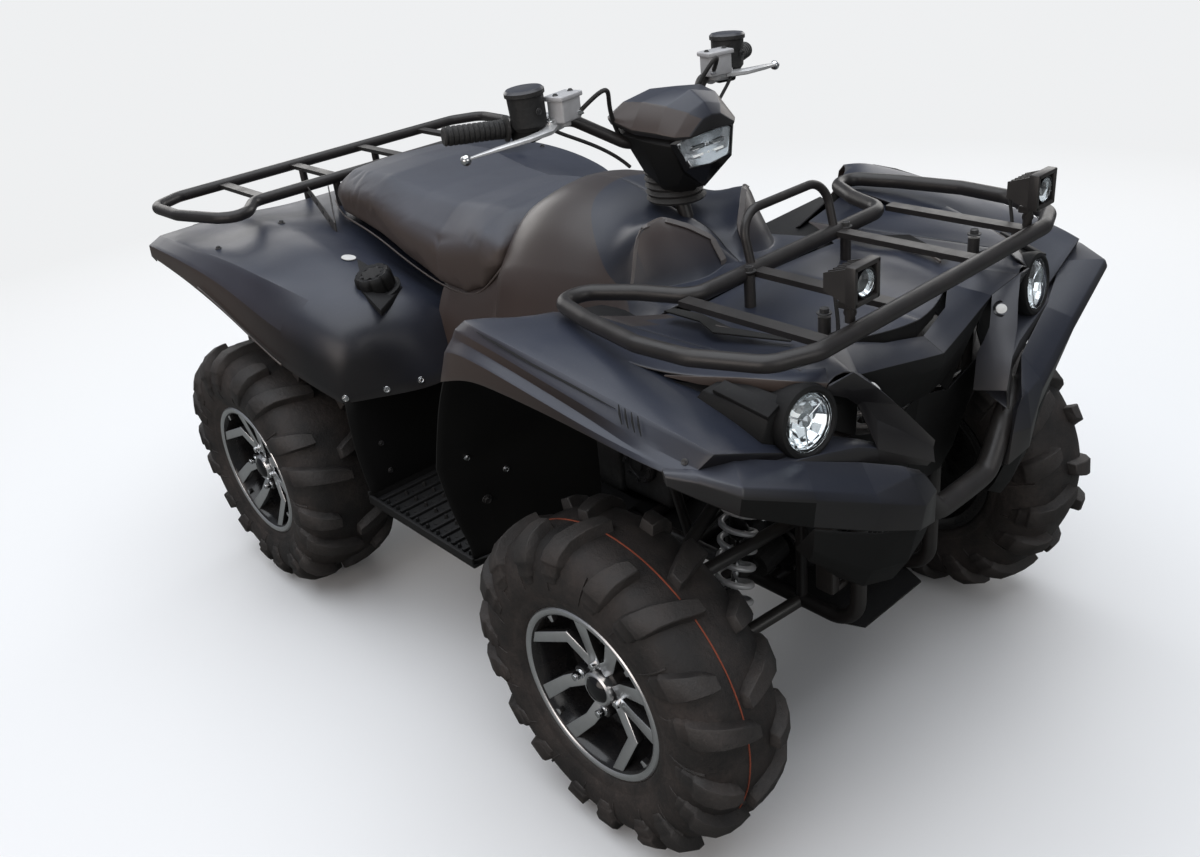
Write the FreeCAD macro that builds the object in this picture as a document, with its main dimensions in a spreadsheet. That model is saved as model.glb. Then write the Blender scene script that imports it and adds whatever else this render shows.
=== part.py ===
import FreeCAD, Part
import Sketcher
import math
import os

# Utility quad bike. Millimetres. X to the vehicle's left, Y to the rear, Z up, the ground at Z 0.
# The tables give places as distances behind an axle and heights above the axle line.

Vector = FreeCAD.Vector
doc = FreeCAD.newDocument("QuadBike")

sizes = [
    # wheels and axles
    ("wheelbase", 1253),
    ("frontAxleY", -640),
    ("tyreRadius", 325),
    ("frontHalfTrack", 506),
    ("rearHalfTrack", 492),
    ("frontTyreWidth", 205),
    ("rearTyreWidth", 246),
    ("frontRimWidth", 168),
    ("rearRimWidth", 208),
    ("tyreWall", 14),
    ("tyreSides", 18),
    ("tyrePhase", 17),
    ("lugPitches", 9),
    ("lugWidth", 26),
    ("lugLean", 22),
    ("beadRadius", 152),
    ("flangeRadius", 169),
    ("flangeThickness", 6),
    ("rimWall", 5),
    ("hubRadius", 48),
    ("hubLength", 70),
    ("armWidth", 19),
    ("armDepth", 16),
    ("faceInset", 16),
    ("spindleRadius", 15),
    ("runningFit", 0.05),
    # frame
    ("railHalfSpan", 115),
    ("railRadius", 15),
    ("topRailRadius", 13),
    ("crossRadius", 12),
    ("strutRadius", 11),
    ("railBelowAxle", 25),
    ("topRailAbove", 365),
    ("middleRailAbove", 315),
    ("rearRailAbove", 445),
    ("bendRadius", 60),
    ("frontUprightAhead", 220),
    ("hitchWidth", 70),
    ("hitchThickness", 8),
    ("hitchHoleRadius", 8),
    # engine and gear cases
    ("engineHeight", 300),
    ("engineBehind", 290),
    ("engineAheadOfRear", 263),
    ("engineSideRoom", 5),
    ("caseWidth", 150),
    ("caseLength", 130),
    ("caseHeight", 140),
    ("mufflerRadius", 70),
    ("mufflerLength", 250),
    # steering
    ("columnLean", 18),
    ("columnLength", 725),
    ("columnFootBehind", 91),
    ("columnFootAbove", 105),
    ("columnRadius", 14),
    ("columnClearance", 26),
    ("podBelowTop", 132.516),
    ("steerArm", 70),
    ("tieRodRadius", 8),
    ("tieRodAbove", 47),
    ("eyeRadius", 18),
    ("eyeDepth", 14),
    ("studRadius", 6),
    ("openEyeClearance", 3),
    ("openEyeDrop", 9),
    ("kingpinHalfSpan", 430),
    ("kingpinRadius", 8),
    ("upperBallAbove", 105),
    ("lowerBallBelow", 90),
    ("uprightRadius", 22),
    # suspension
    ("armTubeRadius", 13),
    ("armPivotSpread", 90),
    ("shockTopHalfSpan", 159),
    ("shockBelowAxle", 63),
    ("springRadius", 38),
    ("dampingRodRadius", 16),
    ("shaftRadius", 12),
    ("bootRadius", 34),
    # handlebar
    ("barRadius", 11),
    ("gripRadius", 17),
    ("gripLength", 118),
    # racks
    ("rackRadius", 14),
    ("frontRackAbove", 630),
    ("rearRackAbove", 601),
    ("slatWidth", 26),
    ("slatDepth", 10),
    ("legRadius", 10),
    ("hoopRadius", 8),
    # body
    ("panelWall", 4),
    ("boardThickness", 27),
    ("headlampRadius", 50),
    ("headlampDepth", 70),
    ("bumperRadius", 20),
    ("workLampSize", 62),
    ("capRadius", 38),
]

sheet = doc.addObject("Spreadsheet::Sheet", "Sizes")
for line, (name, value) in enumerate(sizes, 1):
    sheet.set("A%d" % line, name)
    sheet.set("B%d" % line, str(value))
    sheet.setAlias("B%d" % line, name)
doc.recompute()

S = {name: float(sheet.get(name)) for name, value in sizes}
frontY = S["frontAxleY"]
rearY = frontY + S["wheelbase"]
axleZ = S["tyreRadius"]
lean = math.radians(S["columnLean"])
axles = {"front": frontY, "rear": rearY}
subparts = []


def point(axle, across, behind, above):
    return Vector(across, axles[axle] + behind, axleZ + above)


def publish(item, label):
    item.Label = label
    subparts.append(item)
    return item


def feature(name, shape):
    item = doc.addObject("Part::Feature", name)
    item.Shape = shape
    return item


def mirrored(shape):
    return shape.mirror(Vector(0, 0, 0), Vector(1, 0, 0))


def bothSides(name, shape):
    return feature(name, Part.Compound([shape, mirrored(shape)]))


# Skins and bulks: faceted bodywork from short tables


def triangles(corners):
    found = []
    for last in range(2, len(corners)):
        a, b, c = corners[0], corners[last - 1], corners[last]
        found.append(Part.Face(Part.makePolygon([a, b, c, a])))
    return found


def closedSolid(faces):
    solid = Part.Solid(Part.Shell(faces))
    if solid.Volume < 0:
        solid.reverse()
    return solid.removeSplitter()


def thinPanel(grid, wall, skip=(), flip=False):
    """A wall below a grid of outer points; skip lists the cells left open."""
    rows = len(grid)
    columns = len(grid[0])
    cells = [(i, j) for i in range(rows - 1) for j in range(columns - 1) if (i, j) not in skip]
    normals = {}
    quads = []
    for i, j in cells:
        ring = [(i, j), (i + 1, j), (i + 1, j + 1), (i, j + 1)]
        if flip:
            ring.reverse()
        a, b, c, d = [grid[r][k] for r, k in ring]
        normal = (c - a).cross(d - b)
        normal.normalize()
        for corner in ring:
            normals[corner] = normals.get(corner, Vector()) + normal
        quads.append(ring)
    outer = {key: grid[key[0]][key[1]] for key in normals}
    inner = {}
    for key, normal in normals.items():
        normal.normalize()
        inner[key] = outer[key] - normal * wall
        if abs(outer[key].x) < 0.001:
            inner[key].x = 0
    borders = {}
    faces = []
    for ring in quads:
        faces += triangles([outer[key] for key in ring])
        a, b, c, d = [inner[key] for key in ring]
        faces += triangles([a, d, c, b])
        for start, end in zip(ring, ring[1:] + ring[:1]):
            if (end, start) in borders:
                del borders[(end, start)]
            else:
                borders[(start, end)] = True
    for start, end in borders:
        faces += triangles([outer[end], outer[start], inner[start], inner[end]])
    return closedSolid(faces)


def bulk(rings):
    """A closed body through rings of the same number of points."""
    faces = triangles(list(reversed(rings[0]))) + triangles(rings[-1])
    count = len(rings[0])
    for lower, upper in zip(rings, rings[1:]):
        for k in range(count):
            n = (k + 1) % count
            faces += triangles([lower[k], lower[n], upper[n], upper[k]])
    return closedSolid(faces)


def wholePanel(grid, wall, skip=()):
    """A panel given from the middle outwards, joined to its mirror image."""
    half = thinPanel(grid, wall, skip)
    return half.fuse(mirrored(half)).removeSplitter()


# Tubes: straight runs joined by tangent arcs

def tubeShape(corners, radius, bend):
    edges = []
    start = corners[0]
    for k in range(1, len(corners) - 1):
        back = corners[k - 1] - corners[k]
        ahead = corners[k + 1] - corners[k]
        room = 0.48 * min(back.Length, ahead.Length)
        back.normalize()
        ahead.normalize()
        half = back.getAngle(ahead) / 2
        reach = min(bend / math.tan(half), room)
        arc = reach * math.tan(half)
        middle = back + ahead
        middle.normalize()
        centre = corners[k] + middle * (arc / math.sin(half))
        first = corners[k] + back * reach
        last = corners[k] + ahead * reach
        edges.append(Part.LineSegment(start, first).toShape())
        edges.append(Part.Arc(first, centre - middle * arc, last).toShape())
        start = last
    edges.append(Part.LineSegment(start, corners[-1]).toShape())
    path = Part.Wire(edges)
    circle = Part.makeCircle(radius, corners[0], corners[1] - corners[0])
    return path.makePipeShell([Part.Wire(circle)], True, False)


def rodShape(start, end, radius):
    return Part.makeCylinder(radius, (end - start).Length, start, end - start)


def boxShape(low, high):
    return Part.makeBox(high.x - low.x, high.y - low.y, high.z - low.z, low)


def fused(shapes):
    return shapes[0].fuse(shapes[1:])


def flipSide(p):
    return Vector(-p.x, p.y, p.z)


# Wheels

def bind(item, **formulas):
    for name, formula in formulas.items():
        item.setExpression(name, formula)


def sketchOn(body, name, plane):
    sketch = body.newObject("Sketcher::SketchObject", name)
    support = [part for part in body.Origin.OriginFeatures if part.Role == plane][0]
    sketch.AttachmentSupport = [(support, "")]
    sketch.MapMode = "FlatFace"
    return sketch


def outline(sketch, corners):
    """A closed outline whose corners are pinned by formulas on the sheet."""
    values = [(float(sheet.evalExpression(a)), float(sheet.evalExpression(b))) for a, b in corners]
    count = len(values)
    first = sketch.GeometryCount
    for k in range(count):
        a = values[k]
        b = values[(k + 1) % count]
        sketch.addGeometry(Part.LineSegment(Vector(a[0], a[1], 0), Vector(b[0], b[1], 0)), False)
    for k in range(count):
        joined = (first + k, 2, first + (k + 1) % count, 1)
        sketch.addConstraint(Sketcher.Constraint("Coincident", *joined))
    for k in range(count):
        for axis, formula, value in zip(("DistanceX", "DistanceY"), corners[k], values[k]):
            pinned = sketch.addConstraint(Sketcher.Constraint(axis, -1, 1, first + k, 1, value))
            sketch.setExpression("Constraints[%d]" % pinned, formula)


def revolved(body, name, corners):
    sketch = sketchOn(body, name + "Sketch", "XY_Plane")
    outline(sketch, corners)
    turn = body.newObject("PartDesign::Revolution", name)
    turn.Profile = sketch
    turn.ReferenceAxis = (sketch, ["H_Axis"])
    turn.Angle = 360
    return turn


def placeWheel(body, end, side):
    half = "Sizes.%sHalfTrack" % end
    behind = "Sizes.frontAxleY" if end == "front" else "Sizes.frontAxleY + Sizes.wheelbase"
    turn = 0 if side > 0 else 180
    body.Placement = FreeCAD.Placement(Vector(), FreeCAD.Rotation(Vector(0, 0, 1), turn))
    bind(body, **{"Placement.Base.x": "%d * %s" % (side, half),
                  "Placement.Base.y": behind,
                  "Placement.Base.z": "Sizes.tyreRadius"})


# share of the tyre's half width, depth below the tread: outside from crown to bead, then inside back
outsideTable = [(0.70, 28), (0.97, 88)]
insideTable = [(0.66, 60)]
# a lug's section after its crown end, in the same shares and depths
lugTable = [(0.78, 10), (0.99, 62), (0.84, 72)]
# where along the half width a lug starts, and where in its pitch it stands
lugKinds = [(0.04, 0.0), (0.42, 0.5)]


def flatRing(profile):
    """A ring with flat sides about the X axis, through (across, radius) corners."""
    step = 360 / S["tyreSides"]
    turns = [math.radians(S["tyrePhase"] + number * step) for number in range(int(S["tyreSides"]))]
    rings = [[Vector(across, radius * math.sin(turn), radius * math.cos(turn)) for across, radius in profile]
             for turn in turns]
    faces = []
    for ring, following in zip(rings, rings[1:] + rings[:1]):
        for k in range(len(profile)):
            n = (k + 1) % len(profile)
            quad = [ring[k], ring[n], following[n], following[k], ring[k]]
            faces.append(Part.Face(Part.makePolygon(quad)))
    return closedSolid(faces)


def lugShape(half, start):
    """One slanted lug at the top of the tyre, sunk in the carcass."""
    lean = math.tan(math.radians(S["lugLean"]))
    corners = []
    for share, depth in [(start, 25), (start, 0.3)] + lugTable:
        aside = S["lugWidth"] / 2 - lean * (share - start) * half
        corners.append(Vector(share * half, aside, S["tyreRadius"] - depth))
    face = Part.Face(Part.makePolygon(corners + corners[:1]))
    return face.extrude(Vector(0, -S["lugWidth"], 0))


def tyreShape(end):
    half = S[end + "TyreWidth"] / 2
    seat = S[end + "RimWidth"] / 2 - S["flangeThickness"]
    bead = S["beadRadius"] / math.cos(math.pi / S["tyreSides"])
    profile = [(share * half, S["tyreRadius"] - depth) for share, depth in outsideTable]
    profile += [(seat, S["flangeRadius"] + 6), (seat, bead), (seat - S["tyreWall"], bead)]
    profile += [(share * half - S["tyreWall"], S["tyreRadius"] - depth) for share, depth in insideTable]
    ring = flatRing(profile + [(-across, radius) for across, radius in reversed(profile)])
    lugs = []
    pitch = 360 / S["lugPitches"]
    for start, offset in lugKinds:
        lug = lugShape(half, start)
        for number in range(int(S["lugPitches"])):
            for other in (False, True):
                placed = mirrored(lug) if other else lug.copy()
                share = number + offset + (0.25 if other else 0)
                placed.rotate(Vector(), Vector(1, 0, 0), share * pitch)
                lugs.append(placed)
    return ring.fuse(lugs).removeSplitter()


# degrees about the axle from level, as shares of the bead radius: foot, kink, kink's radius, tip
armTable = [
    (104, 126, 0.70, 161),
    (95, 93, 0.66, 91),
    (184, 198, 0.57, 209),
    (266, 252, 0.57, 241),
    (346, 324, 0.70, 289),
    (355, 357, 0.66, 359),
    (80, 60, 0.57, 62),
    (10, 30, 0.57, 28),
]


def armOutline(foot, kink, kinkShare, tip):
    """Corners of one arm as formulas, from the hub out to the barrel."""
    half = S["armWidth"] / S["beadRadius"] / 2
    tipShare = 1 - S["rimWall"] / S["beadRadius"] / 2
    middles = [(0.8 * S["hubRadius"] / S["beadRadius"], foot), (kinkShare, kink), (tipShare, tip)]
    places = [Vector(share * math.cos(math.radians(turn)), share * math.sin(math.radians(turn)), 0)
              for share, turn in middles]
    ways = [(places[1] - places[0]).normalize(), (places[2] - places[1]).normalize()]
    ways.insert(1, (ways[0] + ways[1]).normalize())
    ways[2] = Vector(places[2]).normalize()
    asides = [Vector(-way.y, way.x, 0) * half for way in ways]
    around = [place + aside for place, aside in zip(places, asides)]
    around += [place - aside for place, aside in reversed(list(zip(places, asides)))]
    formula = "Sizes.beadRadius * %.5f"
    return [(formula % corner.x, formula % corner.y) for corner in around]


def rim(end, sideName, side):
    tag = "_%s_%s" % (end, sideName)
    body = doc.addObject("PartDesign::Body", "Rim" + tag)
    half = "Sizes.%sRimWidth / 2" % end
    step = " - Sizes.flangeThickness"
    revolved(body, "Barrel" + tag, [
        (half, "Sizes.flangeRadius"),
        (half, "Sizes.beadRadius - Sizes.rimWall"),
        ("-(%s)" % half, "Sizes.beadRadius - Sizes.rimWall"),
        ("-(%s)" % half, "Sizes.flangeRadius"),
        ("-(%s)" % (half + step), "Sizes.flangeRadius"),
        ("-(%s)" % (half + step), "Sizes.beadRadius"),
        (half + step, "Sizes.beadRadius"),
        (half + step, "Sizes.flangeRadius"),
    ])
    # kinked arms from the hub to the barrel
    face = half + " - Sizes.faceInset"
    for number, arm in enumerate(armTable):
        sketch = sketchOn(body, "ArmSketch%d%s" % (number, tag), "YZ_Plane")
        sketch.setExpression("AttachmentOffset.Base.z", face + " - Sizes.armDepth")
        outline(sketch, armOutline(*arm))
        pad = body.newObject("PartDesign::Pad", "Arm%d%s" % (number, tag))
        pad.Profile = sketch
        bind(pad, Length="Sizes.armDepth")
        body.Tip = pad
    doc.recompute()
    # hub, closed at its outer end, with the bore that runs on the spindle
    bore = "Sizes.spindleRadius + Sizes.runningFit"
    cap = face + " - Sizes.faceInset"
    revolved(body, "Hub" + tag, [
        (face, "0 * Sizes.hubRadius"),
        (face, "Sizes.hubRadius"),
        (face + " - Sizes.hubLength", "Sizes.hubRadius"),
        (face + " - Sizes.hubLength", bore),
        (cap, bore),
        (cap, "0 * Sizes.hubRadius"),
    ])
    placeWheel(body, end, side)
    return publish(body, "rim" + tag)


for end in ("front", "rear"):
    mudTyre = tyreShape(end)
    for sideName, side in (("left", 1), ("right", -1)):
        tyre = feature("Tyre_%s_%s" % (end, sideName), mudTyre)
        placeWheel(tyre, end, side)
        publish(tyre, "tyre_%s_%s" % (end, sideName))
        rim(end, sideName, side)
doc.recompute()


# Bodywork skins. Columns: across, behind the axle, above the axle line.

def panelGrid(axle, table):
    return [[point(axle, *place) for place in row] for row in table]


wall = S["panelWall"]

# inner edge, shoulder, crease, lip; from the rear end forward and down over the front edge
frontFenderTable = [
    [(398, 235, 572), (492, 235, 625), (546, 248, 622), (562, 335, 505)],
    [(398, 120, 570), (492, 135, 630), (545, 140, 613), (574, 225, 532)],
    [(398, 20, 566), (485, 35, 622), (542, 40, 601), (579, 78, 535)],
    [(398, -60, 555), (450, -55, 590), (540, -52, 588), (579, -65, 532)],
    [(398, -160, 545), (440, -160, 568), (532, -160, 567), (573, -160, 526)],
    [(390, -285, 535), (430, -275, 543), (517, -267, 546), (556, -240, 525)],
    [(385, -322, 487), (430, -300, 497), (500, -277, 512), (548, -247, 512)],
]
fender = thinPanel(panelGrid("front", frontFenderTable), wall)
frontFenders = publish(bothSides("FrontFenders", fender), "front_fenders")

# middle to the fender, rear to front: deck, plate and brow, then the blade beside the lamp
noseTable = [
    [(0, 68, 578), (115, 68, 576), (205, 74, 568), (285, 210, 560), (397, 210, 572)],
    [(0, -20, 580), (115, -20, 575), (205, -20, 567), (285, 20, 563), (397, 20, 566)],
    [(0, -160, 568), (115, -160, 565), (205, -160, 562), (285, -160, 565), (397, -160, 572)],
    [(0, -246, 558), (70, -240, 561), (150, -215, 564), (262, -222, 580), (385, -212, 575)],
    [(0, -303, 509), (62, -300, 519), (193, -271, 540), (231, -298, 560), (384, -262, 560)],
    [(0, -265, 425), (62, -262, 430), (150, -338, 462), (212, -310, 468), (384, -290, 465)],
    [(0, -258, 385), (70, -262, 385), (112, -356, 378), (190, -330, 420), (384, -280, 440)],
]
lampCells = ((4, 3),)
nosePanel = feature("NoseSkin", wholePanel(panelGrid("front", noseTable), wall, lampCells))

# wall behind each front wheel; rows from the fender down to the board
mudTable = [
    [(332, 300, 510), (398, 290, 520), (562, 337, 503)],
    [(244, 320, 290), (400, 385, 290), (560, 420, 290)],
    [(230, 345, 56), (400, 420, 56), (490, 462, 54)],
]
mudPanel = thinPanel(panelGrid("front", mudTable), wall, flip=True)
mudPanels = publish(bothSides("MudPanels", mudPanel), "mud_panels")

# wall ahead of each rear wheel
guardTable = [
    [(230, -400, 330), (400, -400, 310), (502, -388, 270)],
    [(230, -400, 150), (400, -396, 150), (508, -392, 150)],
    [(230, -386, 26.3), (400, -386, 26.3), (488, -386, 26.3)],
]
rearGuard = thinPanel(panelGrid("rear", guardTable), wall)
rearGuards = publish(bothSides("RearGuards", rearGuard), "rear_guards")

# the cowl over the engine top, with a raised wing each side of the column
# middle to lower edge, front to rear
cowlTable = [
    [(0, 78, 585), (40, 78, 584), (80, 78, 583), (120, 82, 582),
     (160, 88, 582), (215, 105, 572), (235, 131, 553)],
    [(0, 135, 582), (34, 143, 586), (75, 140, 579), (110, 143, 578),
     (165, 190, 572), (198, 230, 562), (252, 220, 495)],
    [(0, 172, 605), (39, 169, 638), (75, 193, 666), (112, 219, 686),
     (154, 241, 678), (192, 259, 582), (264, 240, 460)],
    [(0, 205, 640), (40, 215, 646), (78, 240, 668), (114, 262, 680),
     (156, 275, 660), (202, 285, 580), (276, 280, 435)],
    [(0, 310, 662), (50, 310, 664), (90, 315, 664), (125, 320, 655),
     (167, 320, 630), (218, 320, 568), (286, 320, 410)],
    [(0, 425, 705), (50, 425, 702), (95, 425, 692), (132, 425, 676),
     (180, 425, 638), (236, 425, 565), (290, 425, 392)],
    [(0, 540, 704), (50, 540, 700), (95, 540, 688), (132, 540, 670),
     (180, 540, 632), (230, 540, 550), (278, 540, 365)],
    [(0, 612, 663), (50, 612, 659), (90, 612, 650), (128, 612, 636),
     (170, 612, 598), (220, 612, 528), (262, 612, 360)],
]
# the cowl's middle keeps clear of the pod, so its height over its foot goes with the column
cowlFoot, cowlCrown = 400, 662
crownNow = S["columnFootAbove"] + S["columnLength"] * math.cos(lean) - S["podBelowTop"]
rise = (crownNow - cowlFoot) / (cowlCrown - cowlFoot)


def raised(row):
    return [(x, y, cowlFoot + (z - cowlFoot) * rise) if y > 170 and z > cowlFoot else (x, y, z)
            for x, y, z in row]


cowlRows = cowlTable[:2] + [raised(row) for row in cowlTable[2:-1]] + cowlTable[-1:]
cowlSkin = feature("CowlSkin", wholePanel(panelGrid("front", cowlRows), wall))

# rows between the cowl and the rear axle keep their share of that room
def between(start, behind, ahead, room):
    return start + (behind - start) * (S["wheelbase"] - ahead - start) / room


# below the seat on each side: rows front to rear, top to bottom
coverY = between(612.8, 700, 415, 225.2)
sideTable = [
    [(246, 612.8, 432), (263, 612.8, 356), (262, 612.8, 230)],
    [(250, coverY, 420), (276, coverY, 330), (256, coverY, 230)],
]
sideEnd = [(238, -415, 400), (250, -415, 310), (232, -415, 230)]
sideGrid = panelGrid("front", sideTable) + panelGrid("rear", [sideEnd])
sideCover = thinPanel(sideGrid, wall)
sideCovers = publish(bothSides("SideCovers", sideCover), "side_covers")

# middle to lip, front to rear
rearFenderTable = [
    [(0, -395, 400), (180, -395, 400), (238, -395, 440),
     (300, -400, 445), (400, -410, 400), (470, -405, 300)],
    [(0, -290, 405), (180, -290, 405), (240, -290, 490),
     (345, -290, 505), (455, -290, 450), (515, -300, 320)],
    [(0, -150, 450), (180, -150, 450), (243, -140, 520),
     (355, -140, 550), (505, -140, 505), (548, -210, 335)],
    [(0, -20, 520), (180, -20, 520), (245, -10, 538), (365, -10, 560), (525, -10, 541), (562, -70, 430)],
    [(0, 150, 530), (180, 150, 530), (248, 150, 541), (370, 160, 560), (540, 170, 544), (572, 140, 475)],
    [(0, 330, 525), (180, 330, 525), (250, 335, 533), (380, 345, 540), (535, 360, 537), (568, 365, 490)],
    [(0, 395, 470), (180, 395, 470), (250, 400, 475), (380, 408, 480), (522, 410, 482), (545, 410, 465)],
]
rearSkin = feature("RearFenderSkin", wholePanel(panelGrid("rear", rearFenderTable), wall))


# Solid soft and hard bodies through rings of points

def ringsAcross(datum, table):
    """Rows of (behind, [(across, above), ...]) as half sections, middle top to middle bottom."""
    rings = []
    for behind, half in table:
        side = [datum + Vector(across, behind, above) for across, above in half]
        other = [flipSide(p) for p in reversed(side) if p.x > 0]
        rings.append(side + other)
    return rings


# top middle, top edge, side, lower edge, bottom middle; the front rows from the front axle
frontAxle = point("front", 0, 0, 0)
rearAxle = point("rear", 0, 0, 0)
seatFrontTable = [
    (613.5, [(0, 620), (120, 612), (205, 580), (214, 528), (0, 560)]),
    (between(613.5, 713, 290, 349.5), [(0, 632), (130, 628), (212, 580), (218, 452), (0, 545)]),
    (between(613.5, 845, 290, 349.5), [(0, 618), (130, 618), (212, 575), (218, 452), (0, 540)]),
]
seatRearTable = [
    (-290, [(0, 632), (140, 632), (212, 590), (218, 480), (0, 540)]),
    (-150, [(0, 657), (150, 655), (205, 610), (212, 520), (0, 545)]),
    (30, [(0, 650), (150, 645), (195, 600), (200, 542), (0, 545)]),
    (140, [(0, 620), (110, 612), (150, 590), (155, 548), (0, 550)]),
]
seatRings = ringsAcross(frontAxle, seatFrontTable) + ringsAcross(rearAxle, seatRearTable)
seat = publish(feature("Seat", bulk(seatRings)), "seat")

# Steering axis

columnAxis = Vector(0, math.sin(lean), math.cos(lean))
columnFoot = point("front", 0, S["columnFootBehind"], S["columnFootAbove"])
columnTop = columnFoot + columnAxis * S["columnLength"]
armWay = Vector(0, math.cos(lean), -math.sin(lean))
pitmanPin = columnFoot + armWay * S["steerArm"]
plate = 10
eyeGap = 8


def alongColumn(start, length, radius):
    return Part.makeCylinder(radius, length, start, columnAxis)


# Pod of the handlebar. Rows: behind the column's top, then half sections across and above it.
podTable = [
    (90, [(0, 73), (85, 67), (102, 15), (55, -47), (0, -50)]),
    (-5, [(0, 95), (110, 87), (130, 30), (62, -75), (0, -83)]),
    (-95, [(0, 97), (95, 90), (106, 20), (52, -67), (0, -73)]),
    (-150, [(0, 73), (60, 67), (76, 17), (38, -35), (0, -40)]),
]
lensTable = [
    (-165, [(0, 27), (58, 23), (70, 5), (48, -27), (0, -31)]),
    (-150.3, [(0, 33), (62, 29), (74, 7), (50, -29), (0, -33)]),
]
podBlank = feature("PodBlank", bulk(ringsAcross(columnTop, podTable)))
lens = publish(feature("PodLens", bulk(ringsAcross(columnTop, lensTable))), "pod_lens")

# Frame

def rail(corners, radius="railRadius"):
    return tubeShape(corners, S[radius], S["bendRadius"])


span = S["railHalfSpan"]
railZ = axleZ - S["railBelowAxle"]
topZ = axleZ + S["topRailAbove"]
middleZ = axleZ + S["middleRailAbove"]
rearTopZ = axleZ + S["rearRailAbove"]
uprightY = frontY - S["frontUprightAhead"]
spread = S["armPivotSpread"]
lampBarHalfSpan = 235
topLine = [(uprightY, topZ), (frontY + 180, topZ), (frontY + 420, middleZ), (rearY - 330, middleZ),
           (rearY - 120, rearTopZ), (rearY + 365, rearTopZ)]


def topRailHeight(y):
    for (startY, startZ), (endY, endZ) in zip(topLine, topLine[1:]):
        if startY <= y <= endY:
            return startZ + (endZ - startZ) * (y - startY) / (endY - startY)


# struts between the lower and the top rail: foot and head along the vehicle
strutTable = [
    (frontY - spread, frontY - spread),
    (frontY + spread, frontY + spread),
    (frontY + 200, frontY + 320),
    (rearY - 200, rearY - 170),
    (rearY - spread, rearY - spread),
    (rearY + spread, rearY + spread),
    (rearY + 135, rearY + 335),
]
pegZ = railZ + 13
pegRadius = 11
frameTubes = []
for side in (1, -1):
    x = side * span
    frameTubes.append(rail([Vector(x, uprightY, topZ + 20), Vector(x, uprightY, railZ),
                            Vector(x, rearY + 150, railZ)]))
    frameTubes.append(rail([Vector(x, y, z) for y, z in topLine], "topRailRadius"))
    for footY, headY in strutTable:
        head = Vector(x, headY, topRailHeight(headY))
        frameTubes.append(rodShape(Vector(x, footY, railZ), head, S["strutRadius"]))
    # board carriers
    for behind in (560, 780):
        pegY = frontY + behind
        frameTubes.append(rodShape(Vector(x, pegY, pegZ), Vector(side * 470, pegY, pegZ), pegRadius))
collarRadius = 27
collarY = columnFoot.y + math.tan(lean) * (topZ - columnFoot.z)
# across: along the vehicle, height, half span
crossTable = [
    (uprightY, topZ, lampBarHalfSpan),
    (frontY - 5, topZ, S["shockTopHalfSpan"] + 8),
    (frontY - 5, railZ, span),
    (frontY + 200, railZ, span),
    (frontY + S["engineBehind"] + 60, railZ, span),
    (rearY - S["engineAheadOfRear"] - 60, railZ, span),
    (rearY, railZ, span),
    (rearY + 30, rearTopZ, 190),
    (rearY + 350, rearTopZ, span),
]
for y, height, half in crossTable:
    frameTubes.append(rodShape(Vector(-half, y, height), Vector(half, y, height), S["crossRadius"]))
bearerY = collarY - collarRadius - 2
bearerZ = topRailHeight(bearerY)
bearer = rodShape(Vector(-span, bearerY, bearerZ), Vector(span, bearerY, bearerZ), S["crossRadius"])
frameTubes.append(bearer)
hitchY = rearY + 250
hitchZ = railZ + 10
hitchPlate = boxShape(Vector(-S["hitchWidth"] / 2, rearY + 105, hitchZ - S["hitchThickness"]),
                      Vector(S["hitchWidth"] / 2, hitchY + 30, hitchZ))
hitchBar = rodShape(Vector(-span, rearY + 115, railZ), Vector(span, rearY + 115, railZ), S["crossRadius"])
hitchHole = Part.makeCylinder(S["hitchHoleRadius"], 40, Vector(0, hitchY, hitchZ - 20))
collarMiddle = Vector(0, collarY, topZ)
collar = alongColumn(collarMiddle - columnAxis * 16, 32, collarRadius)
collarBore = alongColumn(collarMiddle - columnAxis * 40, 80, S["columnRadius"] + S["runningFit"])
frameShape = fused(frameTubes + [hitchBar, hitchPlate, collar]).cut(fused([hitchHole, collarBore]))

# Engine and gear cases, on the frame's cross tubes
deck = railZ + S["crossRadius"]
engine = doc.addObject("Part::Box", "EngineBlock")
bind(engine, Length="2 * (Sizes.railHalfSpan - Sizes.railRadius - Sizes.engineSideRoom)",
     Width="Sizes.wheelbase - Sizes.engineBehind - Sizes.engineAheadOfRear", Height="Sizes.engineHeight")
bind(engine, **{"Placement.Base.x": "Sizes.railRadius + Sizes.engineSideRoom - Sizes.railHalfSpan",
                "Placement.Base.y": "Sizes.frontAxleY + Sizes.engineBehind",
                "Placement.Base.z": "Sizes.tyreRadius - Sizes.railBelowAxle + Sizes.crossRadius"})
publish(engine, "engine_block")

caseMiddle = deck + S["caseHeight"] / 2
cases = []
for y in (frontY - 5, rearY):
    low = Vector(-S["caseWidth"] / 2, y - S["caseLength"] / 2, deck)
    high = Vector(S["caseWidth"] / 2, y + S["caseLength"] / 2, deck + S["caseHeight"])
    block = boxShape(low, high)
    cases.append(block.makeFillet(24, [edge for edge in block.Edges
                                       if abs(edge.tangentAt(0).x) > 0.9
                                       and edge.CenterOfMass.z > deck + 5]))
gearCases = publish(feature("GearCases", Part.Compound(cases)), "gear_cases")

muffler = doc.addObject("Part::Cylinder", "Muffler")
bind(muffler, Radius="Sizes.mufflerRadius", Height="Sizes.mufflerLength")
muffler.Placement = FreeCAD.Placement(Vector(), FreeCAD.Rotation(Vector(1, 0, 0), -90))
bind(muffler, **{"Placement.Base.x": "Sizes.railHalfSpan + Sizes.strutRadius + Sizes.mufflerRadius",
                 "Placement.Base.y": "Sizes.frontAxleY + Sizes.wheelbase + 110",
                 "Placement.Base.z": "Sizes.tyreRadius + Sizes.rearRailAbove - Sizes.mufflerRadius - 60"})
publish(muffler, "muffler")

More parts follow.
